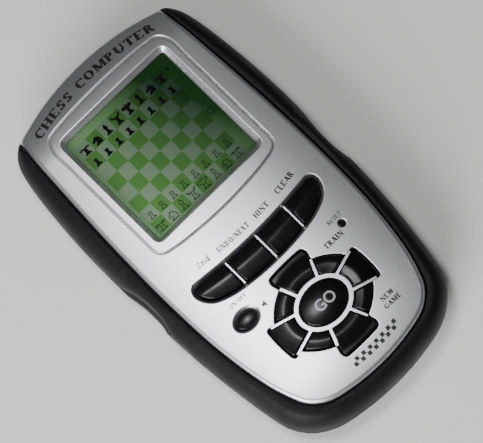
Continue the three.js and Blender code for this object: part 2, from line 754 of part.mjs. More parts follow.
const batteryLeadRed = () =>
  wire([
    [-CELL_PITCH, BAY_Y[1] - 0.2, 10],
    [-CELL_PITCH, BAY_Y[1] + 3, 10],
    [-CELL_PITCH, BAY_Y[1] + 6, 12],
    [-CELL_PITCH, BAY_Y[1] + 7, UNDER_BOARD],
  ]);
const batteryLeadBlack = () =>
  wire([
    [CELL_PITCH, BAY_Y[0] + 0.2, 10],
    [CELL_PITCH, BAY_Y[0] - 2.2, 10],
    [CELL_PITCH + 1.5, BAY_Y[0] - 2.8, 12],
    [CELL_PITCH + 2.5, BAY_Y[0] - 2.8, UNDER_BOARD],
  ]);
const buzzerLead = (side) =>
  wire(
    [
      [side * 3, BUZZER_CENTRE[1] - 6, WALL + GAP + 1.5],
      [side * 4, BUZZER_CENTRE[1] - 14, 6],
      [side * 5, BUZZER_CENTRE[1] - 30, 10],
      [side * 5, BUZZER_CENTRE[1] - 36, UNDER_BOARD],
    ],
    0.5,
  );

// ---- Power --------------------------------------------------------------------------------------------

const CELL_MIDDLE = (BAY_Y[0] + BAY_Y[1]) / 2;

// A cell along Y, with its positive nub towards +Y or -Y.
function cell(column, direction) {
  const outline = [
    [0, -CELL_LENGTH / 2],
    [CELL_RADIUS - 0.4, -CELL_LENGTH / 2],
    [CELL_RADIUS, -CELL_LENGTH / 2 + 0.4],
    [CELL_RADIUS, CELL_LENGTH / 2 - 0.4],
    [CELL_RADIUS - 0.4, CELL_LENGTH / 2],
    [1.9, CELL_LENGTH / 2],
    [1.9, CELL_LENGTH / 2 + CELL_NUB],
    [0, CELL_LENGTH / 2 + CELL_NUB],
  ].map(([x, y]) => new THREE.Vector2(x, y));
  const geometry = new THREE.LatheGeometry(outline, 16);
  if (direction < 0) geometry.rotateZ(Math.PI);
  geometry.translate(column * CELL_PITCH, CELL_MIDDLE + direction * 1.6, CELL_HEIGHT);
  return solidOf(geometry);
}

// A stamped contact lying against the bay's end wall, over one cell or two.
function contact(end, fromColumn, toColumn) {
  const x = [fromColumn * CELL_PITCH - 4, toColumn * CELL_PITCH + 4];
  const y = end > 0 ? [BAY_Y[1] - GAP - 0.4, BAY_Y[1] - GAP] : [BAY_Y[0] + GAP, BAY_Y[0] + GAP + 0.4];
  return box(x, y, [4.4, 8.6]);
}

// A conical spring from a contact to a cell's flat end.
function coneSpring(column, end) {
  const turns = 3;
  const far = end > 0 ? BAY_Y[1] - GAP - 0.4 - GAP - 0.4 : BAY_Y[0] + GAP + 0.4 + GAP + 0.4;
  const near = CELL_MIDDLE - end * 1.6 + end * (CELL_LENGTH / 2 + GAP + 0.4);
  const points = steps(0, 1, turns * 8).map((t) => {
    const turn = 2 * Math.PI * turns * t;
    const radius = 3.6 - 1.4 * t;
    const x = column * CELL_PITCH + radius * Math.cos(turn);
    return new THREE.Vector3(x, far + (near - far) * t, CELL_HEIGHT + radius * Math.sin(turn));
  });
  const section = new THREE.Shape(ellipse([0, 0], [0.35, 0.35], 5));
  const path = new THREE.CatmullRomCurve3(points);
  const settings = { steps: turns * 9, extrudePath: path, bevelEnabled: false };
  return solidOf(new THREE.ExtrudeGeometry(section, settings));
}

// ---- Fasteners ----------------------------------------------------------------------------------------

const caseScrew = (at) =>
  post(at, 2.3, [3.5, 5.2], 12).add(post(at, 1.15, [5, 17], 8)).subtract(crossSlot(at, 3.5));
const boardScrew = (at) =>
  post(at, 1.9, [BOARD_BOTTOM - GAP - 1.3, BOARD_BOTTOM - GAP], 10)
    .add(post(at, 0.8, [BOARD_BOTTOM - GAP - 0.5, 20], 8))
    .subtract(crossSlot(at, BOARD_BOTTOM - GAP - 1.3));

// The crossed driver slot in a screw's head, which faces down.
function crossSlot([x, y], underside) {
  const z = [underside - 1, underside + 0.8];
  return box([x - 1.3, x + 1.3], [y - 0.3, y + 0.3], z).add(box([x - 0.3, x + 0.3], [y - 1.3, y + 1.3], z));
}

// ---- The assembly -------------------------------------------------------------------------------------

const finish = (color, roughness, metalness = 0) =>
  new THREE.MeshStandardMaterial({ color, roughness, metalness });
const silverPaint = finish("#c9cace", 0.38, 0.6);
const blackTexture = finish("#17161a", 0.7);
const keyRubber = finish("#141316", 0.45);
const clearAcrylic = finish("#dfe8e2", 0.08);
const displayGreen = finish("#5f9a46", 0.25);
const steel = finish("#b8babd", 0.3, 1);
const nickel = finish("#cfcdc6", 0.25, 1);
const boardGreen = finish("#1f6b3c", 0.5);

const chessComputer = new THREE.Group();
chessComputer.name = "chess_computer";

function addGroup(...parts) {
  const group = new THREE.Group();
  for (const [name, solid, material] of parts) {
    const mesh = new THREE.Mesh(geometryOf(solid), material);
    mesh.name = name;
    group.add(mesh);
  }
  chessComputer.add(group);
}

addGroup(
  ["front_shell", frontShell(), silverPaint],
  ["screen_bezel", screenBezel(), silverPaint],
  ["grip_band", gripBand(), blackTexture],
  ["rear_shell", rearShell(), blackTexture],
  ["battery_door", batteryDoor(), blackTexture],
);
addGroup(
  ["lens_window", lensWindow(), clearAcrylic],
  ["lcd_panel", lcdPanel(), displayGreen],
  ["lcd_reflector", lcdReflector(), nickel],
  ["lcd_frame", lcdFrame(), finish("#e6e4dc", 0.6)],
  ["zebra_strip_upper", zebraStrip(1), finish("#c78f9d", 0.6)],
  ["zebra_strip_lower", zebraStrip(-1), finish("#c78f9d", 0.6)],
);
addGroup(...keySolids.map(([name, solid]) => [name, solid, keyRubber]), [
  "keypad_mat",
  keypadMat(),
  finish("#3a3a3d", 0.7),
]);
addGroup(
  ["main_board", mainBoard(), boardGreen],
  ["controller_blob", controllerBlob(), finish("#0d0d0f", 0.3)],
  ["crystal_can", crystalCan(), steel],
  ["capacitor_1", capacitor([-14, 14]), finish("#23305e", 0.4)],
  ["capacitor_2", capacitor([-14, 22]), finish("#23305e", 0.4)],
  ["piezo_buzzer", buzzerDisc(), finish("#c9a24a", 0.3, 1)],
  ["buzzer_lead_red", buzzerLead(-1), finish("#a01818", 0.5)],
  ["buzzer_lead_black", buzzerLead(1), finish("#161616", 0.5)],
  ["battery_lead_red", batteryLeadRed(), finish("#a01818", 0.5)],
  ["battery_lead_black", batteryLeadBlack(), finish("#161616", 0.5)],
);
addGroup(
  ...[
    [-1, 1],
    [0, -1],
    [1, 1],
  ].flatMap(([column, direction], i) => [
    [`battery_${i + 1}`, cell(column, direction), finish("#b08d3c", 0.35, 0.6)],
    [`battery_spring_${i + 1}`, coneSpring(column, -direction), nickel],
  ]),
  ["contact_positive", contact(1, -1, -1), nickel],
  ["contact_link_upper", contact(1, 0, 1), nickel],
  ["contact_link_lower", contact(-1, -1, 0), nickel],
  ["contact_negative", contact(-1, 1, 1), nickel],
);
addGroup(
  ...CASE_SCREWS.map((at, i) => [`case_screw_${i + 1}`, caseScrew(at), steel]),
  ...BOARD_SCREWS.map((at, i) => [`board_screw_${i + 1}`, boardScrew(at), steel]),
);

export default chessComputer;
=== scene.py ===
"""Looks for a hand-held electronic chess computer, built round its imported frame.

Lengths are in millimetres until a mesh is made. X runs across the face, Y up it to the display end, and
Z out of it. The device lies on its back.
"""

import math

import bmesh
import bpy
import numpy as np
from mathutils import Matrix, Vector
from mathutils.geometry import delaunay_2d_cdt


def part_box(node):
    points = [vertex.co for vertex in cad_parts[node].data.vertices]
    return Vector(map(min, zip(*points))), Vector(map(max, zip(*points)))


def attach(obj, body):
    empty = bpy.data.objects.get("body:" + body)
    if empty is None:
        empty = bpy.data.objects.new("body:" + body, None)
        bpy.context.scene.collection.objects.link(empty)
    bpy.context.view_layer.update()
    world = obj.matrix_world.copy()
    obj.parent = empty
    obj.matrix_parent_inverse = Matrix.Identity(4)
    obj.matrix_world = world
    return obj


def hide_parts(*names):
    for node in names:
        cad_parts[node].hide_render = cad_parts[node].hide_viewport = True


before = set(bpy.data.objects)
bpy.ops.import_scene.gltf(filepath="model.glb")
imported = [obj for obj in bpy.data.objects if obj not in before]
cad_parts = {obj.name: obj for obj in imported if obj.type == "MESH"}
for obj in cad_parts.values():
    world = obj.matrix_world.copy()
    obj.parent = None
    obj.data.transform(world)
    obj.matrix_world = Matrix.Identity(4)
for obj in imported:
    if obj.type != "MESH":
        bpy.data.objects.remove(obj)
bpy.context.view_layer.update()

MM = 0.001

# ---- Sizes of the casing ----

WALL = 2.2  # moulded wall of the casings
GAP = 0.3  # clearance between neighbouring pieces
PARTING = 7.0  # height of the joint between the back and the bumper
FACE_HEIGHT = 25.0
FACE_CROWN, FACE_HALF, FACE_CROWN_POWER = 2.6, 38.2, 2.4
HALF_LENGTH, FOOT_END = 79.0, -80.3  # the two ends along Y
TOP_DROP, TOP_DROP_FROM = 4.5, 58.0
FOOT_DROP, FOOT_DROP_FROM, FACE_FOOT = 1.2, -56.0, -73.5
PAD_CENTRE = -44.75  # middle of the ring of keys, along Y


def face_height(x, y):
    """The crowned face, which falls away at both ends."""
    crown = FACE_CROWN * (abs(x) / FACE_HALF) ** FACE_CROWN_POWER
    top = max(0.0, (y - TOP_DROP_FROM) / (HALF_LENGTH - TOP_DROP_FROM))
    foot = max(0.0, (y - FOOT_DROP_FROM) / (FACE_FOOT - FOOT_DROP_FROM))
    return FACE_HEIGHT - crown - TOP_DROP * top**2 - FOOT_DROP * foot**2


# ---- Plan outlines: closed, anticlockwise arrays of points ----


def spaced(points, spacing, closed=True):
    """The same line with evenly spaced points."""
    points = np.asarray(points, float)
    if closed:
        points = np.vstack([points, points[:1]])
    along = np.concatenate([[0], np.cumsum(np.linalg.norm(np.diff(points, axis=0), axis=1))])
    count = max(8, round(along[-1] / spacing))
    wanted = np.linspace(0, along[-1], count, endpoint=not closed)
    return np.column_stack([np.interp(wanted, along, column) for column in points.T])


def flowing(points, closed=True, steps=14):
    """A smooth centripetal curve through points."""
    points = np.asarray(points, float)
    if closed:
        padded = np.vstack([points[-1], points, points[:2]])
    else:
        padded = np.vstack([2 * points[0] - points[1], points, 2 * points[-1] - points[-2]])
    made = []
    for p in (padded[i : i + 4] for i in range(len(padded) - 3)):
        knots = np.concatenate([[0], np.cumsum(np.sqrt(np.linalg.norm(np.diff(p, axis=0), axis=1)))])
        for at in np.linspace(knots[1], knots[2], steps, endpoint=False):
            level = list(p)
            for reach, spans in ((1, 3), (2, 2), (1, 1)):
                first = 1 if spans == 1 else 0
                level = [
                    (level[k] * (knots[first + k + reach] - at) + level[k + 1] * (at - knots[first + k]))
                    / (knots[first + k + reach] - knots[first + k])
                    for k in range(spans)
                ]
            made.append(level[0])
    if not closed:
        made.append(points[-1])
    return np.array(made)


def mirrored(half):
    """A closed outline from the points of its right half, from the upper middle to the lower one."""
    return list(half) + [(-x, y) for x, y in half[-2:0:-1]]


def anticlockwise(outline):
    x, y = outline.T
    area = np.sum(x * np.roll(y, -1) - np.roll(x, -1) * y)
    return outline if area > 0 else outline[::-1]


def moulded(points, spacing=0.7):
    """A smooth closed outline with evenly spaced points."""
    return anticlockwise(spaced(flowing(points), spacing))


def even_outline(half, spacing=0.7):
    """A smooth closed outline from the points of its right half."""
    return moulded(mirrored(half), spacing)


def ellipse(centre, halves, spacing=0.5):
    turns = np.linspace(0, 2 * math.pi, 240, endpoint=False)
    x, y = centre[0] + halves[0] * np.cos(turns), centre[1] + halves[1] * np.sin(turns)
    return spaced(np.column_stack([x, y]), spacing)


def left_of(way):
    """A direction turned a quarter to the left."""
    return np.array([-way[1], way[0]])


def turn_from(p, start=0.0):
    """The anticlockwise turn from a direction to that of a point, 0 to a full turn."""
    return (math.atan2(p[1], p[0]) - start) % (2 * math.pi)


def inward(outline, distance):
    """The outline moved in, or out where the distance is negative."""
    along = np.roll(outline, -1, axis=0) - np.roll(outline, 1, axis=0)
    along /= np.maximum(np.linalg.norm(along, axis=1, keepdims=True), 1e-9)
    return outline + distance * np.column_stack([-along[:, 1], along[:, 0]])


FINE_STEP = 0.08  # spacing at which corners are found


def eased(polygon, radius, spacing=0.45, sharp=24):
    """A polygon with its sharp corners rounded off."""
    fine = spaced(polygon, FINE_STEP)
    before = fine - np.roll(fine, 3, axis=0)
    after = np.roll(fine, -3, axis=0) - fine
    crossed = before[:, 0] * after[:, 1] - before[:, 1] * after[:, 0]
    bend = np.degrees(np.abs(np.arctan2(crossed, np.sum(before * after, axis=1))))
    reach = max(1, round(radius / FINE_STEP))
    count = len(fine)
    kept = np.ones(count, bool)
    eased_points = {}
    for i in range(count):
        near = [bend[(i + k) % count] for k in range(-4, 5)]
        if bend[i] > sharp and bend[i] == max(near) and kept[i]:
            for k in range(-reach, reach + 1):
                kept[(i + k) % count] = False
            start, corner, end = fine[(i - reach) % count], fine[i], fine[(i + reach) % count]
            eased_points[i] = [
                (1 - t) ** 2 * start + 2 * t * (1 - t) * corner + t**2 * end
                for t in np.linspace(0, 1, 9)
            ]
    made = []
    for i in range(count):
        if i in eased_points:
            made.extend(eased_points[i])
        elif kept[i]:
            made.append(fine[i])
    return anticlockwise(spaced(np.array(made), spacing))


def kept_side(polygon, point, normal):
    """The part of a polygon on the side of a line that the normal points to."""
    made = []
    for a, b in zip(polygon, np.roll(polygon, -1, axis=0)):
        da, db = np.dot(a - point, normal), np.dot(b - point, normal)
        if da >= 0:
            made.append(a)
        if (da >= 0) != (db >= 0):
            made.append(a + (b - a) * da / (da - db))
    return np.array(made)


def inside(points, outline):
    """Which points lie inside a closed outline."""
    x, y = points[:, 0][:, None], points[:, 1][:, None]
    (ax, ay), (bx, by) = outline.T, np.roll(outline, -1, axis=0).T
    spans = (ay[None] > y) != (by[None] > y)
    with np.errstate(divide="ignore", invalid="ignore"):
        crossing = (bx - ax)[None] * (y - ay[None]) / (by - ay)[None] + ax[None]
    return np.sum(spans & (x < crossing), axis=1) % 2 == 1


# ---- Meshes ----


def new_object(name, data):
    """An object that is in the scene."""
    made = bpy.data.objects.new(name, data)
    bpy.context.scene.collection.objects.link(made)
    return made


def make_piece(name, vertices, faces, finish, body="case", sharp=38, stands_for=(), slot=None):
    """A mesh object in metres that rides on a body of the frame."""
    mesh = bpy.data.meshes.new(name)
    mesh.from_pydata([tuple(c * MM for c in v) for v in vertices], [], [list(f) for f in faces])
    return finish_piece(name, mesh, finish, body, sharp, stands_for, slot)


def finish_piece(name, mesh, finish, body="case", sharp=38, stands_for=(), slot=None, closed=True):
    tidy = bmesh.new()
    tidy.from_mesh(mesh)
    bmesh.ops.remove_doubles(tidy, verts=tidy.verts, dist=1e-6)
    if closed:
        bmesh.ops.recalc_face_normals(tidy, faces=tidy.faces)
    tidy.to_mesh(mesh)
    tidy.free()
    mesh.polygons.foreach_set("use_smooth", [True] * len(mesh.polygons))
    mesh.set_sharp_from_angle(angle=math.radians(sharp))
    piece = new_object(name, mesh)
    mesh.materials.append(finish)
    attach(piece, body)
    if stands_for:
        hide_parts(*stands_for)
    return piece


class Skin:
    """Vertices and faces gathered ring by ring over a curved surface."""

    def __init__(self, height):
        self.height = height
        self.vertices = []
        self.faces = []

    def ring(self, outline, drop=0.0, level=None):
        first = len(self.vertices)
        for x, y in outline:
            self.vertices.append((x, y, self.height(x, y) - drop if level is None else level))
        return list(range(first, len(self.vertices)))

    def band(self, a, b):
        """Faces between two rings of equal count."""
        for i in range(len(a)):
            j = (i + 1) % len(a)
            self.faces.append((a[i], a[j], b[j], b[i]))

    def fill(self, rim, holes, drop, spacing, over=True):
        """Faces inside the rim ring and outside the hole rings."""
        loops = [rim, *holes]
        outlines = [np.array([self.vertices[i][:2] for i in loop]) for loop in loops]
        edge = np.vstack(outlines)
        (x0, y0), (x1, y1) = edge.min(0), edge.max(0)
        grid = [
            (x + (spacing / 2 if row % 2 else 0), y)
            for row, y in enumerate(np.arange(y0, y1, spacing * 0.87))
            for x in np.arange(x0, x1, spacing)
        ]
        guards = [inward(o, 0.35 * spacing * (1 if k == 0 else -1)) for k, o in enumerate(outlines)]
        inner = np.array(grid + [tuple(p) for guard in guards for p in guard[::2]]).reshape(-1, 2)
        inner = inner[inside(inner, outlines[0])]
        for hole in outlines[1:]:
            inner = inner[~inside(inner, hole)]
        if len(inner):
            gaps = np.array([np.min(np.sum((edge - p) ** 2, axis=1)) for p in inner])
            inner = inner[gaps > (0.28 * spacing) ** 2]
        flat = [i for loop in loops for i in loop]
        links = []
        for loop in loops:
            first = len(links)
            links += [(first + k, first + (k + 1) % len(loop)) for k in range(len(loop))]
        points = [Vector(self.vertices[i][:2]) for i in flat] + [Vector(p) for p in inner]
        made, _, triangles, origins, _, _ = delaunay_2d_cdt(points, links, [], 0, 1e-6, True)
        ids = []
        for point, origin in zip(made, origins):
            if origin and origin[0] < len(flat):
                ids.append(flat[origin[0]])
            else:
                ids.append(len(self.vertices))
                self.vertices.append((point.x, point.y, self.height(point.x, point.y) - drop))
        middles = np.array([np.mean([made[k][:2] for k in t], axis=0) for t in triangles])
        wanted = inside(middles, outlines[0])
        for hole in outlines[1:]:
            wanted &= ~inside(middles, hole)
        for t, keep in zip(triangles, wanted):
            if keep:
                self.faces.append(tuple(ids[k] for k in (t if over else t[::-1])))


def rounding(radius, steps=4):
    """Stations (shift, drop) that turn from a flat top down into a wall."""
    turns = [math.pi / 2 * k / steps for k in range(1, steps + 1)]
    return [(radius * math.sin(t), radius * (1 - math.cos(t))) for t in turns]


def plate(
    name, rim, rim_stations, finish, openings=(), height=face_height, spacing=2.2, margin=0.3, **placing
):
    """A closed moulding over a curved top: a plan area whose rim and openings turn down in steps.

    A station is (shift, drop), or (shift, None, level) at a fixed height. The rim's shifts go outwards
    and an opening's go into the opening. All lines end at the same drop, which is the underside.
    """
    skin = Skin(height)
    tops, unders = [], []
    for outline, stations, way in [(rim, rim_stations, -1), *[(o, s, 1) for o, s in openings]]:
        flat = skin.ring(inward(outline, -way * margin))  # keeps the top's shading clear of the edge's
        tops.append(flat)
        ring = skin.ring(outline)
        skin.band(flat, ring)
        for station in stations:
            level = station[2] if len(station) > 2 else None
            lower = skin.ring(inward(outline, way * station[0]), station[1] or 0.0, level)
            skin.band(ring, lower)
            ring = lower
        unders.append(ring)
    skin.fill(tops[0], tops[1:], 0.0, spacing)
    skin.fill(unders[0], unders[1:], rim_stations[-1][1], spacing * 2, over=False)
    return make_piece(name, skin.vertices, skin.faces, finish, **placing)


# ---- Finishes ----


def linear(hex_colour):
    """An sRGB hex colour as linear red, green, blue and alpha."""
    values = [int(hex_colour[k : k + 2], 16) / 255 for k in (1, 3, 5)]
    return (*[v / 12.92 if v <= 0.04045 else ((v + 0.055) / 1.055) ** 2.4 for v in values], 1.0)


def add(tree, kind, links=None, **settings):
    """Adds a node, sets its inputs or links them, and sets its own settings."""
    made = tree.nodes.new(kind)
    for key, value in settings.items():
        setattr(made, key, value)
    for key, value in (links or {}).items():
        if isinstance(value, bpy.types.NodeSocket):
            tree.links.new(value, made.inputs[key])
        else:
            made.inputs[key].default_value = value
    return made


def begin(name, hex_colour, roughness, **sockets):
    """A material with its shader, and coordinates in metres that stay with the piece."""
    made = bpy.data.materials.new(name)
    made.use_nodes = True
    tree = made.node_tree
    shader = tree.nodes["Principled BSDF"]
    shader.inputs["Base Color"].default_value = linear(hex_colour)
    shader.inputs["Roughness"].default_value = roughness
    for key, value in sockets.items():
        shader.inputs[key.replace("_", " ")].default_value = value
    made.diffuse_color = linear(hex_colour)
    place = add(tree, "ShaderNodeTexCoord").outputs["Object"]
    return made, tree, shader, place


def grain(tree, place, size, detail=2.0, rough=0.5):
    """Noise whose blobs are size millimetres across."""
    links = {"Vector": place, "Scale": 1 / (size * MM), "Detail": detail, "Roughness": rough}
    return add(tree, "ShaderNodeTexNoise", links).outputs["Fac"]


def spread(tree, value, low, high):
    """A 0 to 1 value mapped to a range."""
    ends = {"From Min": 0.3, "From Max": 0.7, "To Min": low, "To Max": high}
    return add(tree, "ShaderNodeMapRange", {"Value": value, **ends}).outputs["Result"]


def mixed(tree, value, low, high):
    """Two colours, or colour sockets, mixed by a value."""
    return add(tree, "ShaderNodeMix", {"Factor": value, 6: low, 7: high}, data_type="RGBA").outputs[2]


def tinted(tree, value, low_hex, high_hex):
    """A colour between two, by a 0 to 1 value."""
    return mixed(tree, value, linear(low_hex), linear(high_hex))


def relief(tree, shader, value, height):
    """Bumps of a height in millimetres."""
    bump = add(tree, "ShaderNodeBump", {"Height": value, "Distance": height * MM, "Strength": 1.0})
    tree.links.new(bump.outputs["Normal"], shader.inputs["Normal"])


def silver_paint():
    """Silver metallic paint on moulded ABS: flake in a clear binder gives a soft bright sheen."""
    made, tree, shader, place = begin("silver_paint", "#d2d3d6", 0.36, Metallic=0.95, IOR=1.5)
    flake = grain(tree, place, 0.35, 3.0, 0.7)  # real flake is 0.05 mm; drawn coarser so that it shows
    colour = tinted(tree, spread(tree, flake, 0, 1), "#c6c7cb", "#dcdde0")
    tree.links.new(colour, shader.inputs["Base Color"])
    tree.links.new(spread(tree, flake, 0.33, 0.41), shader.inputs["Roughness"])
    relief(tree, shader, flake, 0.002)
    return made


def eroded_black():
    """Black ABS from a spark-eroded mould: a pebbled skin that breaks light into a dull sheen."""
    made, tree, shader, place = begin("eroded_black", "#0b0b0c", 0.55, IOR=1.28)
    pebble = grain(tree, place, 0.7, 2.0, 0.6)  # real pits are 0.1 mm; drawn coarser so that they show
    wear = grain(tree, place, 9.0, 3.0)
    colour = tinted(tree, spread(tree, pebble, 0, 1), "#060607", "#141416")
    tree.links.new(colour, shader.inputs["Base Color"])
    tree.links.new(spread(tree, wear, 0.48, 0.6), shader.inputs["Roughness"])
    relief(tree, shader, pebble, 0.16)
    return made


def back_black():
    """Black ABS from a finely blasted mould: the plain back, a little smoother than the bumper."""
    made, tree, shader, place = begin("back_black", "#1a191c", 0.5, IOR=1.54)
    pebble = grain(tree, place, 0.6, 2.0, 0.6)
    tree.links.new(spread(tree, grain(tree, place, 12.0, 3.0), 0.44, 0.58), shader.inputs["Roughness"])
    relief(tree, shader, pebble, 0.03)
    return made


def key_silicone():
    """Black silicone keys with a lacquered top: smooth, with a satin light along each crest."""
    made, tree, shader, place = begin("key_silicone", "#09090a", 0.28, IOR=1.34)
    touch = grain(tree, place, 3.0, 4.0)
    tree.links.new(spread(tree, touch, 0.25, 0.31), shader.inputs["Roughness"])
    relief(tree, shader, grain(tree, place, 0.3, 2.0), 0.006)
    return made


def display_picture():
    """A passive liquid crystal display: a green reflective ground with a faint board of squares."""
    made, tree, shader, place = begin("display_picture", "#5d9440", 0.3, IOR=1.25)
    split = add(tree, "ShaderNodeSeparateXYZ", {"Vector": place}).outputs

    def number(operation, a, b=0.0, c=0.0):
        return add(tree, "ShaderNodeMath", {0: a, 1: b, 2: c}, operation=operation).outputs[0]

    def squares_along(axis, size, start):
        return number("FLOOR", number("MULTIPLY_ADD", split[axis], 1 / (size * MM), -start / size))

    column = squares_along("X", BOARD_FILE, BOARD_LEFT)
    row = squares_along("Y", BOARD_RANK, BOARD_FOOT)
    odd = number("FLOORED_MODULO", number("ADD", column, row), 2.0)
    on_column, on_row = number("COMPARE", column, 3.5, 4.0), number("COMPARE", row, 3.5, 4.0)
    on_board = number("MULTIPLY", on_column, on_row)
    # Painted glare and shade: the colours run from pale at the lower left to dark at the far right, as
    # the display looks seen from a side under this light.
    slanted = number("ADD", split["X"], number("MULTIPLY", split["Y"], 0.45))
    painted_glare_to_shade = number("MULTIPLY_ADD", slanted, 1 / (50 * MM), 0.25)
    ground = tinted(tree, painted_glare_to_shade, "#a8dc9c", "#153f14")
    dark = tinted(tree, painted_glare_to_shade, "#6cae54", "#123810")
    pale = tinted(tree, painted_glare_to_shade, "#a2c49e", "#2a4634")
    picture = mixed(tree, on_board, ground, mixed(tree, odd, dark, pale))
    tree.links.new(picture, shader.inputs["Base Color"])
    relief(tree, shader, grain(tree, place, 0.3), 0.004)
    return made


def plain(name, hex_colour, roughness, size=1.5, height=0.01, swing=0.06, **sockets):
    """A moulded, plated or printed surface whose sheen varies a little over size millimetres."""
    made, tree, shader, place = begin(name, hex_colour, roughness, **sockets)
    mottle = grain(tree, place, size, 3.0)
    sheen = spread(tree, mottle, roughness - swing, roughness + swing)
    tree.links.new(sheen, shader.inputs["Roughness"])
    relief(tree, shader, mottle, height)
    return made


BOARD_FILE, BOARD_RANK = 5.25, 5.5  # width and height of a square
BOARD_LEFT, BOARD_FOOT = -22.6, 13.25  # the board's lower left corner

SILVER = silver_paint()
BUMPER = eroded_black()
BACK = back_black()
KEYS = key_silicone()
PICTURE = display_picture()
SEGMENT = plain("display_segment", "#020402", 0.35, IOR=1.2)  # darkened liquid crystal, nearly black
SEGMENT_THIN = plain("display_segment_thin", "#050c05", 0.35, IOR=1.2)  # narrow segments look paler
LENS = plain("acrylic_window", "#0c100c", 0.06, swing=0.02, height=0.001, IOR=1.49, Alpha=0.14)
INK_FILM = {"size": 0.6, "height": 0.004, "IOR": 1.5}  # pad print: a thin matt film
PRINT = plain("black_pad_print", "#17171a", 0.5, **INK_FILM)
LABEL_PRINT = plain("dark_pad_print", "#0c0c0e", 0.5, **INK_FILM)
GREY_PRINT = plain("grey_pad_print", "#4b4b50", 0.5, **INK_FILM)
PALE_PRINT = plain("pale_pad_print", "#a9a9ae", 0.45, **INK_FILM)
STEEL = plain("zinc_plated_steel", "#b4b7bb", 0.3, size=0.8, Metallic=1.0)
NICKEL = plain("nickel_plate", "#cdc9c0", 0.24, size=0.8, Metallic=1.0)
BRASS = plain("buzzer_brass", "#c49a43", 0.3, size=2.0, Metallic=1.0)
FOIL = plain("reflector_foil", "#b9bcb4", 0.4, size=2.0, Metallic=1.0)
HOLDER = plain("holder_styrene", "#dcdad2", 0.5, IOR=1.59)
ZEBRA = plain("zebra_rubber", "#c58d9b", 0.6, size=0.4, IOR=1.45)
CONTACT_RUBBER = plain("grey_silicone", "#3c3c40", 0.6, IOR=1.45)
BOARD_GREEN = plain("solder_mask", "#1d6a3a", 0.35, size=0.9, height=0.02, IOR=1.5)
RESIN = plain("potting_resin", "#0e0e10", 0.2, size=4.0, height=0.1, IOR=1.55)
SLEEVE = plain("heat_shrunk_sleeve", "#24315f", 0.35, IOR=1.5)
RED_WIRE = plain("red_wire", "#a31a1a", 0.45, IOR=1.5)
BLACK_WIRE = plain("black_wire", "#171717", 0.45, IOR=1.5)

# ---- The silver face ----

outer_outline = even_outline(
    [
        (0, HALF_LENGTH), (18, 77.4), (33, 73.5), (37.6, 71.9), (40.3, 68.4), (41.8, 63), (43.5, 50),
        (44.8, 32), (45, 14), (44.7, -6), (43.8, -26), (41.6, -46), (39.9, -57), (38.2, -64.6),
        (33.9, -71.4), (26.4, -76.5), (14.2, -79.3), (0, FOOT_END),
    ]
)
face_sides = even_outline(
    [
        (0, 90), (25, 89.5), (34.3, 86), (35, 72), (36.4, 50), (37.9, 20), (38.2, -8), (37.2, -30),
        (34.2, -50), (31.4, -59.6), (28.6, -65.4), (23.1, -69.9), (13, -72.5), (0, FACE_FOOT),
    ],
    0.9,
)
row_pocket = even_outline(
    [
        (0, -9.7), (14, -9.2), (24, -8.2), (28.2, -8), (30.2, -10.4), (29.8, -14), (27, -17.9),
        (20.5, -20.8), (10.5, -22.5), (0, -23),
    ],
    0.6,
)
bezel_outline = even_outline(
    [
        (0, 67.6), (12, 67.3), (22, 66.6), (26.5, 65.6), (28.8, 62), (29, 52), (29, 20), (28.9, 11),
        (28.3, 8.6), (26.6, 7), (22, 5.7), (12, 4.5), (0, 4),
    ],
    0.6,
)
POWER_CENTRE, RESET_CENTRE = (-22.9, -29.9), (24.4, -29.2)
power_pocket = ellipse(POWER_CENTRE, (5.6, 4.2), 0.4)
reset_hole = ellipse(RESET_CENTRE, (1.4, 1.4), 0.3)

# A quarter of the outside of the ring of keys: an oval that a larger key stands out of.
CLUSTER = [
    (0, 19.25), (4.5, 19.15), (7.6, 18.7), (8.2, 17), (7.7, 15), (7.6, 13.9), (10.2, 12.4), (13.2, 10.4),
    (15.9, 7.9), (17.6, 6.1), (18.4, 6.3), (20.6, 6.6), (21.15, 4), (21.3, 0),
]
lower_cluster = [(x, -y) for x, y in CLUSTER[-2::-1]]
cluster_rim = even_outline([(x, y + PAD_CENTRE) for x, y in CLUSTER + lower_cluster], 0.45)


def face_outline():
    """The face's sides, closed at the upper end by the case's own outline."""
    top = np.array([p for p in outer_outline if p[1] > 60 and abs(p[0]) < 34.9])
    sides = [p for p in face_sides if p[1] < 70.9]
    sides.sort(key=lambda p: turn_from((p[0], p[1] - 5), math.pi / 2))
    return np.vstack([top[np.argsort(-top[:, 0])], sides])


FACE_ROUND = 1.4
face_rim = eased(face_outline(), 1.2, 0.7)
SLOPE = [(0.2, 0.05), (0.4, 0.2), (1.05, 1.15), (1.3, 1.55), (1.35, 1.9)]

plate(
    "front_shell_moulding",
    inward(face_rim, FACE_ROUND),
    [*rounding(FACE_ROUND, 5), (FACE_ROUND, None, 14.0), (FACE_ROUND, None, PARTING + GAP),
     (FACE_ROUND - WALL, None, PARTING + GAP), (FACE_ROUND - WALL, WALL)],
    SILVER,
    [
        (inward(row_pocket, -0.1), [*SLOPE, (1.35, 3.2), (-1.0, 3.2), (-1.0, WALL)]),
        (inward(power_pocket, -0.1), [*SLOPE, (1.35, 2.9), (-1.0, 2.9), (-1.0, WALL)]),
        (inward(reset_hole, -0.25), [*rounding(0.25, 2), (0.25, WALL)]),
        (inward(bezel_outline, -0.45), [*rounding(0.45), (0.45, 1.2), (3.2, 1.2), (3.2, WALL)]),
        (inward(cluster_rim, -0.55), [*rounding(0.3), (0.3, WALL)]),
    ],
    stands_for=("front_shell",),
    slot="silver_paint",
)

# The ring round the GO key and its eight spokes, a hair below the face.
HUB_HALF, GO_HALF = (11.25, 8.8), (9.75, 7.4)
SPOKES = [((13.7, 5.15), 17.5), ((6.4, 11.2), 64)]
SPOKE_HALF = 0.55


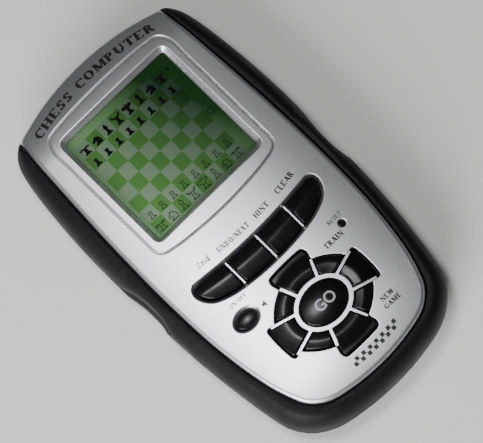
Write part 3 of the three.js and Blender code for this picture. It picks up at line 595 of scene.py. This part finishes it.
def spoke_lines():
    """Each spoke as its direction, and its distance to the left of the pad's centre."""
    lines = []
    for (x, y), degrees in SPOKES:
        for flip_x, flip_y in ((1, 1), (-1, 1), (-1, -1), (1, -1)):
            turn = math.radians(degrees)
            way = np.array([flip_x * math.cos(turn), flip_y * math.sin(turn)])
            lines.append((np.array([flip_x * x, flip_y * y]), way))
    return sorted(lines, key=lambda line: turn_from(line[0]))


def reach_of(outline, point, way):
    """How far along a ray from a point inside the outline the outline lies."""
    a, b = outline, np.roll(outline, -1, axis=0)
    side = left_of(way)
    da, db = (a - point) @ side, (b - point) @ side
    best = None
    for i in np.nonzero((da >= 0) != (db >= 0))[0]:
        crossing = a[i] + (b[i] - a[i]) * da[i] / (da[i] - db[i])
        reach = float((crossing - point) @ way)
        if reach > 0 and (best is None or reach < best):
            best = reach
    return best


pad = np.array([0, PAD_CENTRE])
hub_outside = ellipse(pad, (HUB_HALF[0] + 0.25, HUB_HALF[1] + 0.25), 0.3)


def ring_frame_outline():
    """Eight spokes standing out of an oval, as one star-shaped outline."""
    rim, hub = cluster_rim - pad, hub_outside - pad
    lines = spoke_lines()

    def root(line, sign):
        """Where one edge of a spoke meets the oval."""
        at, way = line
        start = at + left_of(way) * sign * SPOKE_HALF
        near = [p for p in hub if np.dot(p, at) > 0]
        return near[int(np.argmin([abs(np.dot(p - start, left_of(way))) for p in near]))]

    points = []
    for k, line in enumerate(lines):
        at, way = line
        tip = at * 0.5 + way * (reach_of(rim, at * 0.5, way) - 0.55)
        half = left_of(way) * (SPOKE_HALF + 0.12)
        points += [root(line, -1), tip - half, tip + half, root(line, 1)]
        start = math.atan2(points[-1][1], points[-1][0])
        span = turn_from(root(lines[(k + 1) % len(lines)], -1), start)
        arc = [p for p in hub if 0.03 < turn_from(p, start) < span - 0.03]
        points += sorted(arc, key=lambda p: turn_from(p, start))
    return eased(np.array(points), 0.35, 0.25) + pad


plate(
    "ring_frame",
    inward(ring_frame_outline(), 0.15),
    [*rounding(0.15, 2), (0.15, WALL)],
    SILVER,
    [(inward(ellipse(pad, GO_HALF, 0.4), -0.15), [*rounding(0.15, 2), (0.15, WALL)])],
    height=lambda x, y: face_height(x, y) - 0.12,
    spacing=1.0,
    margin=0.06,
    slot="silver_paint",
)

RIB_HALF = 0.43
for number, rib_x in enumerate((-14.2, 0, 14.2), 1):
    foot, head = (-21.9, -10.9) if rib_x == 0 else (-20.7, -10.4)
    left, right = rib_x - RIB_HALF, rib_x + RIB_HALF
    bar = eased([(left, foot), (right, foot), (right, head), (left, head)], 0.35, 0.2)
    plate(
        f"row_rib_{number}",
        inward(bar, 0.2),
        [*rounding(0.2, 2), (0.2, 2.6)],
        SILVER,
        height=lambda x, y: face_height(x, y) - 0.25,
        spacing=1.0,
        margin=0.05,
        slot="silver_paint",
    )

# ---- The display ----

WINDOW_SLOPE = [
    (0.15, 0.05), (0.4, 0.25), (1.9, 2.0), (2.05, 2.3), (2.05, 2.45), (-0.3, 2.45), (-0.3, 0.9),
]
window_edge = eased([(-25.9, 10.4), (25.9, 10.4), (25.9, 62.2), (-25.9, 62.2)], 3.2, 0.7)
plate(
    "screen_bezel_moulding",
    inward(bezel_outline, 0.25 + 0.5),
    [*rounding(0.5), (0.5, 0.9)],
    SILVER,
    [(inward(window_edge, -0.15), WINDOW_SLOPE)],
    stands_for=("screen_bezel",),
    slot="silver_paint",
)


def slab(name, node, finish, slot, ease=0.15, **placing):
    """A CAD block with its edges eased."""
    low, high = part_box(node)
    made = bmesh.new()
    bmesh.ops.create_cube(made, size=1)
    size = high - low
    fitted = Matrix.Translation((low + high) / 2) @ Matrix.Diagonal((*size, 1))
    bmesh.ops.transform(made, verts=made.verts, matrix=fitted)
    bmesh.ops.bevel(made, geom=made.edges, offset=ease * MM, segments=2, affect="EDGES")
    mesh = bpy.data.meshes.new(name)
    made.to_mesh(mesh)
    made.free()
    return finish_piece(name, mesh, finish, stands_for=(node,), slot=slot, **placing)


slab("window_pane", "lens_window", LENS, "clear_window")
slab("display_cell", "lcd_panel", PICTURE, "display_glass")
display_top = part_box("lcd_panel")[1].z / MM

# The chessmen as points in millimetres about the middle of a square.
PAWN = [
    (-1.25, -1.9), (1.25, -1.9), (1.2, -1.5), (0.62, -1.0), (0.5, 0.0), (0.78, 0.4), (0.6, 0.95),
    (-0.6, 0.95), (-0.78, 0.4), (-0.5, 0.0), (-0.62, -1.0), (-1.2, -1.5),
]
KNIGHT = [
    (-1.5, -1.9), (1.6, -1.9), (1.75, -0.6), (1.3, 0.6), (0.4, 1.15), (-0.3, 1.55), (-0.5, 1.0),
    (-1.4, 0.5), (-1.9, -0.2), (-1.5, -0.6), (-0.6, -0.2), (-0.2, -0.5), (-1.2, -1.4),
]


def footed(right, middle=()):
    """An even chessman on the common foot, from the right half of its upper part upwards."""
    right = [(1.4, -1.9), (1.3, -1.45), (0.7, -1.0), *right]
    left = [(-x, y) for x, y in reversed(right)]
    return left[-1:] + right + list(middle) + left[:-1]


ROOK = footed([(0.6, 0.2), (1.1, 0.55), (2.0, 0.35), (2.25, 0.95), (0.9, 1.2), (0.7, 0.95)])
BISHOP = footed([(0.45, 0.3), (0.8, 0.75), (0.65, 1.5), (0.25, 2.0), (0.3, 2.35)])
QUEEN = footed([(0.55, 0.4), (1.3, 0.8), (2.2, 1.7), (1.6, 2.2), (0.9, 1.35)], [(0, 1.2)])
KING = footed([(0.55, 0.3), (1.3, 0.6), (2.2, 0.9), (2.1, 1.75), (1.1, 2.0), (0.5, 1.6), (0.3, 2.35)])
BACK_RANK = [ROOK, KNIGHT, BISHOP, QUEEN, KING, BISHOP, KNIGHT, ROOK]
INK = 0.03  # thickness of printed or switched marks


class Marks(Skin):
    """Thin raised marks gathered into one mesh."""

    def solid(self, outline):
        low, top = self.ring(outline, INK), self.ring(outline, -INK)
        self.faces += [tuple(low[::-1]), tuple(top)]
        self.band(low, top)

    def outlined(self, outline, width):
        outline = anticlockwise(np.asarray(outline, float))
        inner = inward(outline, width)
        low_out, top_out = self.ring(outline, INK), self.ring(outline, -INK)
        low_in, top_in = self.ring(inner, INK), self.ring(inner, -INK)
        for a, b in ((top_out, top_in), (low_in, low_out), (low_out, top_out), (top_in, low_in)):
            self.band(a, b)

    def make(self, name, finish, **placing):
        return make_piece(name, self.vertices, self.faces, finish, sharp=30, **placing)


def on_display(*_):
    return display_top + INK


def square_middle(column, row):
    return BOARD_LEFT + (column + 0.5) * BOARD_FILE, BOARD_FOOT + (row + 0.5) * BOARD_RANK


def set_up_board():
    """The starting position: the far side in solid segments and the near side in outlined ones."""
    far, near, signs = Marks(on_display), Marks(on_display), Marks(on_display)
    for column, man in enumerate(BACK_RANK):
        for row, shape, marks in ((7, man, far), (6, PAWN, far), (1, PAWN, near), (0, man, near)):
            x, y = square_middle(column, row)
            placed = [(x + px, y + py - 0.45) for px, py in shape]
            if marks is far:
                far.solid(placed)
            else:
                near.outlined(placed, 0.26)
    signs.outlined([(19.7, 31.7), (22.1, 31.7), (22.1, 34.1), (19.7, 34.1)], 0.5)
    signs.solid([(20.1, 55.0), (21.2, 54.0), (21.4, 55.9)])
    far.make("display_far_men", SEGMENT, slot="display_glass")
    near.make("display_near_men", SEGMENT_THIN, slot="display_glass")
    signs.make("display_signs", SEGMENT, slot="display_glass")


set_up_board()

# ---- Keys ----

KEY_EDGE_RISE, KEY_CREST_RISE, KEY_CREST_POWER = 0.5, 1.1, 1.2
KEY_ROUND = 0.55
ROW_CREST, ROW_CREST_BOW, ROW_SLOPE_RUN = -16.1, 2.6, 5.6
RING_CREST_HALF, RING_SLOPE_RUN = (15.2, 12.2), 0.42


def crested(x, y, away):
    """A key's height, where away is 0 on its crest and 1 or more at the foot of its slopes."""
    fall = min(1, abs(away) ** KEY_CREST_POWER)
    return face_height(x, y) + KEY_EDGE_RISE + KEY_CREST_RISE * (1 - fall)


def row_key_height(x, y):
    return crested(x, y, (y - (ROW_CREST + ROW_CREST_BOW * (x / 26) ** 2)) / ROW_SLOPE_RUN)


def ring_key_height(x, y):
    radius = math.hypot(x / RING_CREST_HALF[0], (y - PAD_CENTRE) / RING_CREST_HALF[1])
    return crested(x, y, (radius - 1) / RING_SLOPE_RUN)


def go_key_height(x, y):
    radius = math.hypot(x / GO_HALF[0], (y - PAD_CENTRE) / GO_HALF[1])
    return face_height(x, y) + 0.4 + 1.25 * (1 - radius**2)


def power_key_height(x, y):
    radius = math.hypot((x - POWER_CENTRE[0]) / 4.5, (y - POWER_CENTRE[1]) / 3.15)
    return face_height(x, y) - 0.75 + 0.55 * (1 - radius**2)


def make_key(node, outline, height, ease=KEY_ROUND, depth=4.2, spacing=0.8):
    return plate(
        node + "_top",
        inward(outline, ease),
        [*rounding(ease, 4), (ease, depth)],
        KEYS,
        height=height,
        spacing=spacing,
        margin=0.15,
        body=node + "_cap",
        sharp=50,
        stands_for=(node,),
        slot="key_plastic",
    )


def row_key_outlines():
    area = inward(row_pocket, 1.35 + GAP)
    edges = [-40, -14.2, 0, 14.2, 40]
    for left, right in zip(edges, edges[1:]):
        piece = kept_side(area, np.array([left + 0.75, 0]), np.array([1.0, 0]))
        piece = kept_side(piece, np.array([right - 0.75, 0]), np.array([-1.0, 0]))
        yield eased(piece, 0.7)


for node, outline in zip(("key_second", "key_undo_next", "key_hint", "key_clear"), row_key_outlines()):
    make_key(node, outline, row_key_height)

RING_KEYS = [
    "key_train", "key_up", "key_sound", "key_left",
    "key_lower_left", "key_down", "key_new_game", "key_right",
]


SPOKE_CLEAR = SPOKE_HALF + 0.2  # from a spoke's middle line to the keys beside it


def ring_key_outlines():
    """The keys between neighbouring spokes, anticlockwise from the one after +X."""
    lines = spoke_lines()
    outside = inward(cluster_rim, 0.32) - pad
    hub = ellipse((0, 0), (HUB_HALF[0] + 0.45, HUB_HALF[1] + 0.45), 0.2)
    for (at, way), (at_next, way_next) in zip(lines, lines[1:] + lines[:1]):
        middle = at / np.linalg.norm(at) + at_next / np.linalg.norm(at_next)
        behind = math.atan2(middle[1], middle[0]) - math.pi
        parts = []
        for area in (outside, hub):
            side, side_next = left_of(way), left_of(way_next)
            area = kept_side(area, at + side * SPOKE_CLEAR, side)
            area = kept_side(area, at_next - side_next * SPOKE_CLEAR, -side_next)
            area = [p for p in area if np.dot(p, middle) > 0]
            parts.append(sorted(area, key=lambda p: turn_from(p, behind)))
        outer = [p for p in parts[0] if not inside(np.array([p]), hub)[0]]
        arc = [p for p in parts[1] if np.linalg.norm(p / np.array(HUB_HALF)) > 0.95]
        yield eased(np.array(outer + arc[::-1]), 1.15) + pad


for node, outline in zip(RING_KEYS, ring_key_outlines()):
    make_key(node, outline, ring_key_height)
make_key("key_go", inward(ellipse(pad, GO_HALF, 0.4), GAP), go_key_height, 0.5)
make_key("key_on_off", ellipse(POWER_CENTRE, (4.25, 2.9), 0.35), power_key_height, 0.6, 3.4, 0.6)
reset_button = ellipse(RESET_CENTRE, (1.1, 1.1), 0.25)
make_key("key_reset", reset_button, lambda x, y: face_height(x, y) - 0.8, 0.25, 3.0, 0.4)

# ---- The black bumper ----

SCOOP = [(49, 22), (45.6, 14.6), (44.1, 9), (42.9, 3), (42.6, -3), (42.9, -8), (44.6, -13.4), (49, -21)]


def waisted(outline):
    """The case's outline with both thumb scoops taken out of it."""
    made = outline.copy()
    curve = flowing(SCOOP, closed=False)
    curve = curve[np.argsort(curve[:, 1])]
    at = np.interp(made[:, 1], curve[:, 1], curve[:, 0], left=99, right=99)
    here = np.abs(made[:, 0]) > at
    made[here, 0] = np.copysign(at[here], made[here, 0])
    return made


BUMPER_SHOULDER, BUMPER_CREST_IN, BUMPER_TOP = 12.4, 5.6, 22.05
LIP = 0.5  # how far in from the silver face the bumper's skin turns down
SKIN_SHARES = (0.0, 0.03, 0.08, 0.15, 0.24, 0.35, 0.47, 0.6, 0.73, 0.85, 0.94)
TIP, TIP_END, TIP_SPREAD = (33.9, 73.25), 58.0, 23.7  # the upper tip, and how far it takes to widen
TIP_TUCK, TIP_SINK = 1.6, 3.2  # how far the tip lies inside the face's edge, and below it


def bumper_top(reach):
    """Height of the bumper's tube-like skin at a distance in from the case's outline."""
    if reach < BUMPER_CREST_IN:
        rise = math.sqrt(max(0.0, 1 - (1 - reach / BUMPER_CREST_IN) ** 2))
        return BUMPER_SHOULDER + (BUMPER_TOP - BUMPER_SHOULDER) * rise
    return BUMPER_TOP - 0.05 * (reach - BUMPER_CREST_IN) ** 2


def bumper_section(reach, sunk):
    """The bumper's closed section as (distance in, height), where sunk is the thumb scoop's depth."""
    low, steeper = PARTING + GAP, max(1.0, BUMPER_CREST_IN / (reach - LIP))
    wall_top = wall_middle = BUMPER_SHOULDER
    if sunk > 0.05:
        wall_top = bumper_top(sunk) - 0.2
        wall_middle = (low + 2.2 + wall_top) / 2
    section = [(1.6, low), (0.35, low), (0.1, low + 0.12), (0.0, low + 0.4), (0.0, low + 2.2)]
    section.append((0.0, wall_middle))
    for share in SKIN_SHARES:
        inset = (reach - LIP) * share
        section.append((inset, bumper_top(inset * steeper + sunk) if share else wall_top + 0.05))
    lip = bumper_top((reach - LIP) * steeper + sunk)
    section += [(reach - 0.3, lip - 0.06), (reach - 0.1, lip - 0.22), (reach, lip - 0.5)]
    section.append((reach, lip - 3.0))
    wide = reach > 2.4
    section.append((reach - 1.4 if wide else reach - 0.3, lip - 3.0))
    section.append((1.6 if wide else reach - 0.4, low + 3.0))
    return section


def grip_band():
    """A tube-like bumper round the sides and foot, lofted from the outline in to the silver face."""
    outline = spaced(outer_outline, 1.0)
    scooped = spaced(waisted(spaced(outer_outline, 0.25)), 1.0)
    face_edge = inward(face_sides, -0.4)
    right_edge = face_edge[(face_edge[:, 0] > 20) & (face_edge[:, 1] > 40)]
    right_edge = right_edge[np.argsort(right_edge[:, 1])]
    start = int(np.argmin(np.abs(scooped[:, 0]) + (scooped[:, 1] < 0) * 999))
    scooped = np.roll(scooped, -start, axis=0)
    normals = inward(scooped, 1.0) - scooped
    normals = (normals + np.roll(normals, 1, axis=0) + np.roll(normals, -1, axis=0)) / 3
    sections = []
    for point, normal in zip(scooped, normals):
        if point[1] > 60 and abs(point[0]) < TIP[0]:
            continue
        corner_away = abs(point[0]) - TIP[0] + TIP[1] - point[1]
        if point[1] > TIP_END and 0 < corner_away < TIP_SPREAD:  # the sections fan out from the tip
            along = TIP[1] - corner_away / TIP_SPREAD * (TIP[1] - TIP_END + 1.4)
            edge_x = np.interp(along, right_edge[:, 1], right_edge[:, 0])
            edge_x -= TIP_TUCK * max(0.0, 1 - corner_away / 5)
            normal = np.array([math.copysign(edge_x, point[0]), along]) - point
            reach = float(np.linalg.norm(normal))
            normal = normal / reach
            crest = face_height(edge_x, along) - TIP_SINK * max(0.0, 1 - corner_away / 6) ** 2
            crest += 1.5 * corner_away / TIP_SPREAD
        else:
            normal = normal / np.linalg.norm(normal)
            reach = reach_of(face_edge, point, normal)
            crest = BUMPER_TOP
        if reach is None or reach < 0.55 or reach > 16:
            continue
        gap = float(np.min(np.linalg.norm(outline - point, axis=1)))
        sunk = max(0.0, gap - 0.3) if abs(point[0]) > 40 and abs(point[1]) < 25 else 0.0
        sections.append([(*(point + normal * s), min(z, crest)) for s, z in bumper_section(reach, sunk)])
    size, last = len(sections[0]), len(sections) - 1
    faces = [tuple(range(size)), tuple(reversed(range(last * size, (last + 1) * size)))]
    for k in range(last):
        for i in range(size):
            j = (i + 1) % size
            faces.append((k * size + i, k * size + j, (k + 1) * size + j, (k + 1) * size + i))
    vertices = [v for section in sections for v in section]
    placing = {"sharp": 60, "stands_for": ("grip_band",), "slot": "bumper_plastic"}
    return make_piece("grip_band_moulding", vertices, faces, BUMPER, **placing)


grip_band()

# ---- Printing on the face ----


def print_go():
    """Plain lettering laid on the crowned GO key."""
    curve = bpy.data.curves.new("label_go", "FONT")
    curve.body, curve.size, curve.offset = "GO", 5.6, 0.1
    curve.align_x = "CENTER"
    curve.extrude = INK
    helper = new_object("label_go_helper", curve)
    bpy.context.view_layer.update()
    mesh = bpy.data.meshes.new_from_object(helper.evaluated_get(bpy.context.evaluated_depsgraph_get()))
    bpy.data.objects.remove(helper)
    for vertex in mesh.vertices:
        along, up, rise = vertex.co
        x, y = 0.5 + along, -46.8 + up
        vertex.co = (x * MM, y * MM, (go_key_height(x, y) + (INK if rise > 0 else -INK)) * MM)
    mesh.materials.clear()
    finish_piece("label_go", mesh, PALE_PRINT, body="key_go_cap", sharp=30, slot="key_plastic")


def sheet_of(polygons, height, rise=INK):
    """Vertices and faces of a thin closed sheet that covers all the polygons together."""
    points, loops = [], []
    for polygon in polygons:
        loops.append(list(range(len(points), len(points) + len(polygon))))
        points += [Vector(p) for p in anticlockwise(np.array(polygon))]
    made, _, triangles, _, _, owners = delaunay_2d_cdt(points, [], loops, 1, 1e-5, True)
    triangles = [t for t, owner in zip(triangles, owners) if owner]
    count = len(made)
    vertices = [(p.x, p.y, height(p.x, p.y) + side * rise) for side in (-1, 1) for p in made]
    ways = {(t[k], t[(k + 1) % 3]) for t in triangles for k in range(3)}
    faces = [tuple(t[::-1]) for t in triangles] + [tuple(i + count for i in t) for t in triangles]
    faces += [(i, j, j + count, i + count) for i, j in ways if (j, i) not in ways]
    return vertices, faces


# Serif letters in units of the capitals' height. Each is its width, and strokes: s stem and t thin stem
# (x, foot, head), d thick and h thin diagonal (x, y to x, y), b bar (x, x, y), and a arc (centre, radii,
# first and last degree).
LETTERS = {
    "A": (0.76, "h 0.12 0 0.38 1, d 0.38 1 0.64 0, b 0.2 0.56 0.34"),
    "C": (0.76, "a 0.42 0.5 0.38 0.52 48 312, t 0.7 0.68 1"),
    "D": (0.8, "s 0.16 0 1, a 0.3 0.5 0.42 0.5 -90 90, b 0.16 0.32 0.96, b 0.16 0.32 0.04"),
    "E": (0.72, "s 0.16 0 1, b 0.16 0.62 0.96, b 0.16 0.62 0.04, b 0.16 0.46 0.5, t 0.61 0.76 1, "
                "t 0.61 0 0.24"),
    "F": (0.68, "s 0.16 0 1, b 0.16 0.6 0.96, b 0.16 0.44 0.5, t 0.59 0.76 1"),
    "G": (0.84, "a 0.42 0.5 0.38 0.52 48 312, t 0.7 0.68 1, s 0.7 0.06 0.42"),
    "H": (0.84, "s 0.16 0 1, s 0.68 0 1, b 0.16 0.68 0.5"),
    "I": (0.36, "s 0.18 0 1"),
    "L": (0.66, "s 0.16 0 1, b 0.16 0.58 0.04, t 0.57 0 0.26"),
    "M": (1.04, "t 0.14 0 1, d 0.18 1 0.5 0.06, h 0.52 0.06 0.84 1, s 0.88 0 1"),
    "N": (0.86, "t 0.14 0 1, d 0.16 1 0.7 0, t 0.72 0 1"),
    "O": (0.86, "a 0.43 0.5 0.4 0.52 0 180, a 0.43 0.5 0.4 0.52 180 360"),
    "P": (0.7, "s 0.16 0 1, a 0.32 0.73 0.3 0.27 -90 90, b 0.16 0.34 0.96, b 0.16 0.34 0.5"),
    "R": (0.78, "s 0.16 0 1, a 0.32 0.74 0.28 0.26 -90 90, b 0.16 0.34 0.96, b 0.16 0.34 0.51, "
                "d 0.38 0.5 0.66 0"),
    "S": (0.64, "a 0.31 0.74 0.25 0.27 25 270, a 0.31 0.27 0.26 0.28 -155 90, t 0.53 0.7 1, "
                "t 0.08 0 0.3"),
    "T": (0.76, "s 0.38 0 1, b 0.06 0.7 0.96, t 0.07 0.74 1, t 0.69 0.74 1"),
    "U": (0.84, "s 0.18 0.34 1, t 0.68 0.34 1, a 0.43 0.36 0.34 0.38 180 360"),
    "W": (1.1, "d 0.12 1 0.34 0, h 0.34 0 0.54 1, d 0.54 1 0.78 0, h 0.78 0 0.98 1"),
    "X": (0.78, "d 0.14 1 0.64 0, h 0.64 1 0.14 0"),
    "2": (0.6, "a 0.28 0.7 0.22 0.3 -30 170, h 0.44 0.56 0.08 0.06, b 0.05 0.52 0.05, t 0.5 0 0.2"),
    "n": (0.64, "s 0.14 0 0.64, s 0.5 0 0.42, a 0.32 0.4 0.27 0.26 0 180"),
    "d": (0.62, "s 0.48 0 1, a 0.28 0.32 0.26 0.34 90 270, a 0.32 0.32 0.2 0.34 -90 90"),
    "/": (0.4, "h 0.06 0 0.34 1"),
    " ": (0.42, ""),
}


def strokes_of(letter, stem, thin, serif=0.09):
    """A letter's strokes as polygons."""
    for stroke in filter(None, LETTERS[letter][1].split(", ")):
        kind, *numbers = stroke.split(" ")
        v = [float(n) for n in numbers]
        if kind in "st":
            x, foot, head = v
            half = (stem if kind == "s" else thin) / 2
            yield [(x - half, foot), (x + half, foot), (x + half, head), (x - half, head)]
            if head - foot > 0.55:
                half += serif
                for y0, y1 in ((foot, foot + 0.07), (head - 0.07, head)):
                    yield [(x - half, y0), (x + half, y0), (x + half, y1), (x - half, y1)]
        elif kind in "dh":
            x0, y0, x1, y1 = v
            half = (stem if kind == "d" else thin) / 1.8
            yield [(x0 - half, y0), (x0 + half, y0), (x1 + half, y1), (x1 - half, y1)]
        elif kind == "b":
            x0, x1, y = v
            yield [(x0, y - thin / 2), (x1, y - thin / 2), (x1, y + thin / 2), (x0, y + thin / 2)]
        else:
            cx, cy, rx, ry, first, last = v
            turns = np.radians(np.linspace(first, last, 15))
            outer = [(cx + rx * math.cos(t), cy + ry * math.sin(t)) for t in turns]
            rx, ry = rx - stem, ry - thin
            yield outer + [(cx + rx * math.cos(t), cy + ry * math.sin(t)) for t in turns[::-1]]


def print_words(name, words, capital, span, centre, baseline, finish, stem=0.25, thin=0.12):
    """Serif lettering printed along a curve on the face, fitted to a span."""
    full = sum(LETTERS[letter][0] + 0.1 for letter in words) - 0.1
    stretch = span / (full * capital)
    polygons, at = [], -full / 2
    for letter in words:
        for polygon in strokes_of(letter, stem, thin):
            bent = []
            for px, py in polygon:
                x, up = centre + (at + px) * capital * stretch, py * capital
                turn = math.atan(baseline(x + 0.5) - baseline(x - 0.5))
                bent.append((x - math.sin(turn) * up, baseline(x) + math.cos(turn) * up))
            polygons.append(bent)
        at += LETTERS[letter][0] + 0.1
    return make_piece(name, *sheet_of(polygons, face_height), finish, sharp=30, slot="silver_paint")


def title_line(x):
    return 71.0 - 0.0042 * x**2


def row_label_line(x):
    return -7.3 + 0.0036 * x**2


print_words("title_print", "CHESS COMPUTER", 3.3, 57, -0.5, title_line, PRINT, 0.24, 0.12)
print_words("label_second", "2nd", 2.3, 5.3, -19.6, row_label_line, LABEL_PRINT, 0.16, 0.1)
for label, words, capital, span, centre, baseline, finish in (
    ("label_undo_next", "UNDO/NEXT", 2.0, 14.4, -6.0, row_label_line, LABEL_PRINT),
    ("label_hint", "HINT", 2.1, 6.8, 7.8, row_label_line, LABEL_PRINT),
    ("label_clear", "CLEAR", 2.2, 9.4, 20.4, row_label_line, LABEL_PRINT),
    ("label_on_off", "ON/OFF", 1.5, 7.4, -20.5, lambda x: -23.9 - 0.04 * (x + 20.5), GREY_PRINT),
    ("label_reset", "RESET", 1.5, 6.2, 23.6, lambda x: -26.8 + 0.03 * (x - 23.6), GREY_PRINT),
    ("label_train", "TRAIN", 2.1, 8.4, 18.0, lambda x: -32.5, LABEL_PRINT),
    ("label_new", "NEW", 1.8, 5.6, 17.2, lambda x: -59.1, LABEL_PRINT),
    ("label_game", "GAME", 1.8, 7.4, 17.2, lambda x: -61.9, LABEL_PRINT),
):
    print_words(label, words, capital, span, centre, baseline, finish)
print_go()


def small_signs():
    """A loudspeaker sign, and a plain chequered strip at the foot of the face."""
    signs = Marks(face_height)
    x, y = -14.6, -30.5
    cone = [(-1.1, -0.5), (-0.4, -0.5), (0.5, -1.4), (0.5, 1.4), (-0.4, 0.5), (-1.1, 0.5)]
    signs.solid([(x + dx, y + dy) for dx, dy in cone])
    signs.make("label_sound", GREY_PRINT, slot="silver_paint")
    strip = Marks(face_height)
    side, inset = 1.5, 0.02
    for column in range(14):
        row = column % 2
        corners = []
        for dx, dy in ((inset, inset), (side, inset), (side, side), (inset, side)):
            px = -8.0 + column * side + dx
            corners.append((px, -69.2 + 0.006 * (px - 2) ** 2 + row * side + dy))
        strip.solid(corners)
    strip.make("chequered_strip", PRINT, slot="silver_paint")


small_signs()

# ---- Pieces kept from the frame ----

KEPT = {
    "rear_shell": BACK, "battery_door": BACK, "lcd_reflector": FOIL, "lcd_frame": HOLDER,
    "zebra_strip_upper": ZEBRA, "zebra_strip_lower": ZEBRA, "keypad_mat": CONTACT_RUBBER,
    "main_board": BOARD_GREEN, "controller_blob": RESIN, "crystal_can": STEEL, "capacitor_1": SLEEVE,
    "capacitor_2": SLEEVE, "piezo_buzzer": BRASS, "buzzer_lead_red": RED_WIRE,
    "buzzer_lead_black": BLACK_WIRE, "battery_lead_red": RED_WIRE, "battery_lead_black": BLACK_WIRE,
}
JACKET = plain("cell_jacket", "#a98434", 0.3, size=5.0, Metallic=0.6)


def finish_of(node):
    if node in KEPT:
        return KEPT[node]
    if "screw" in node:
        return STEEL
    if node.startswith(("battery_spring", "contact_")):
        return NICKEL
    if node.startswith("battery_"):
        return JACKET
    return SILVER


for node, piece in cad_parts.items():
    piece.data.materials.clear()
    piece.data.materials.append(finish_of(node))
    piece.data.polygons.foreach_set("use_smooth", [True] * len(piece.data.polygons))
    piece.data.set_sharp_from_angle(angle=math.radians(32))

# ---- Floor, light and camera ----


def studio():
    """A pale floor, a large soft light over the near left side and a dim surround."""
    floor_mesh = bpy.data.meshes.new("floor")
    reach = 3.0
    corners = [(-reach, -reach), (reach, -reach), (reach, reach), (-reach, reach)]
    floor_mesh.from_pydata([(*corner, -0.0005) for corner in corners], [], [(0, 1, 2, 3)])
    floor_mesh.materials.append(plain("paper_floor", "#f2f2f0", 0.8, size=4.0))
    new_object("floor", floor_mesh)
    for name, place, aim, size, power in (
        ("overhead_softbox", (-0.045, 0.035, 0.5), (-0.02, -0.02, 0), 0.11, 1.15),
        ("left_panel", (-0.95, -0.5, 0.5), (0, 0, 0), 0.8, 22.0),
    ):
        light = bpy.data.lights.new(name, "AREA")
        light.energy = power
        light.size = size
        holder = new_object(name, light)
        holder.location = place
        holder.rotation_euler = (Vector(aim) - Vector(place)).to_track_quat("-Z", "Y").to_euler()
    world = bpy.data.worlds.new("surround")
    world.use_nodes = True
    world.node_tree.nodes["Background"].inputs["Color"].default_value = linear("#ffffff")
    world.node_tree.nodes["Background"].inputs["Strength"].default_value = 0.07
    bpy.context.scene.world = world


CAMERA_AWAY = 0.939  # from the lens to the middle of the case, in metres


def camera():
    """The view from over the near left corner, with the case turned on the table."""
    spin = Matrix.Rotation(math.radians(45.64), 3, "Z")
    tip = Matrix.Rotation(math.radians(-11.45), 3, "X")
    lean = Matrix.Rotation(math.radians(6.88), 3, "Y")
    turned = spin @ tip @ lean  # from the object's axes to the camera's
    aim = Vector((1.64, -1.57, 12.0)) * MM
    lens = bpy.data.cameras.new("camera")
    lens.sensor_width = 36
    lens.lens = 198.6
    lens.clip_end = 10
    holder = new_object("camera", lens)
    to_world = turned.transposed().to_4x4()
    to_world.translation = aim + to_world.to_3x3() @ Vector((0, 0, CAMERA_AWAY))
    holder.matrix_world = to_world
    bpy.context.scene.camera = holder


studio()
camera()
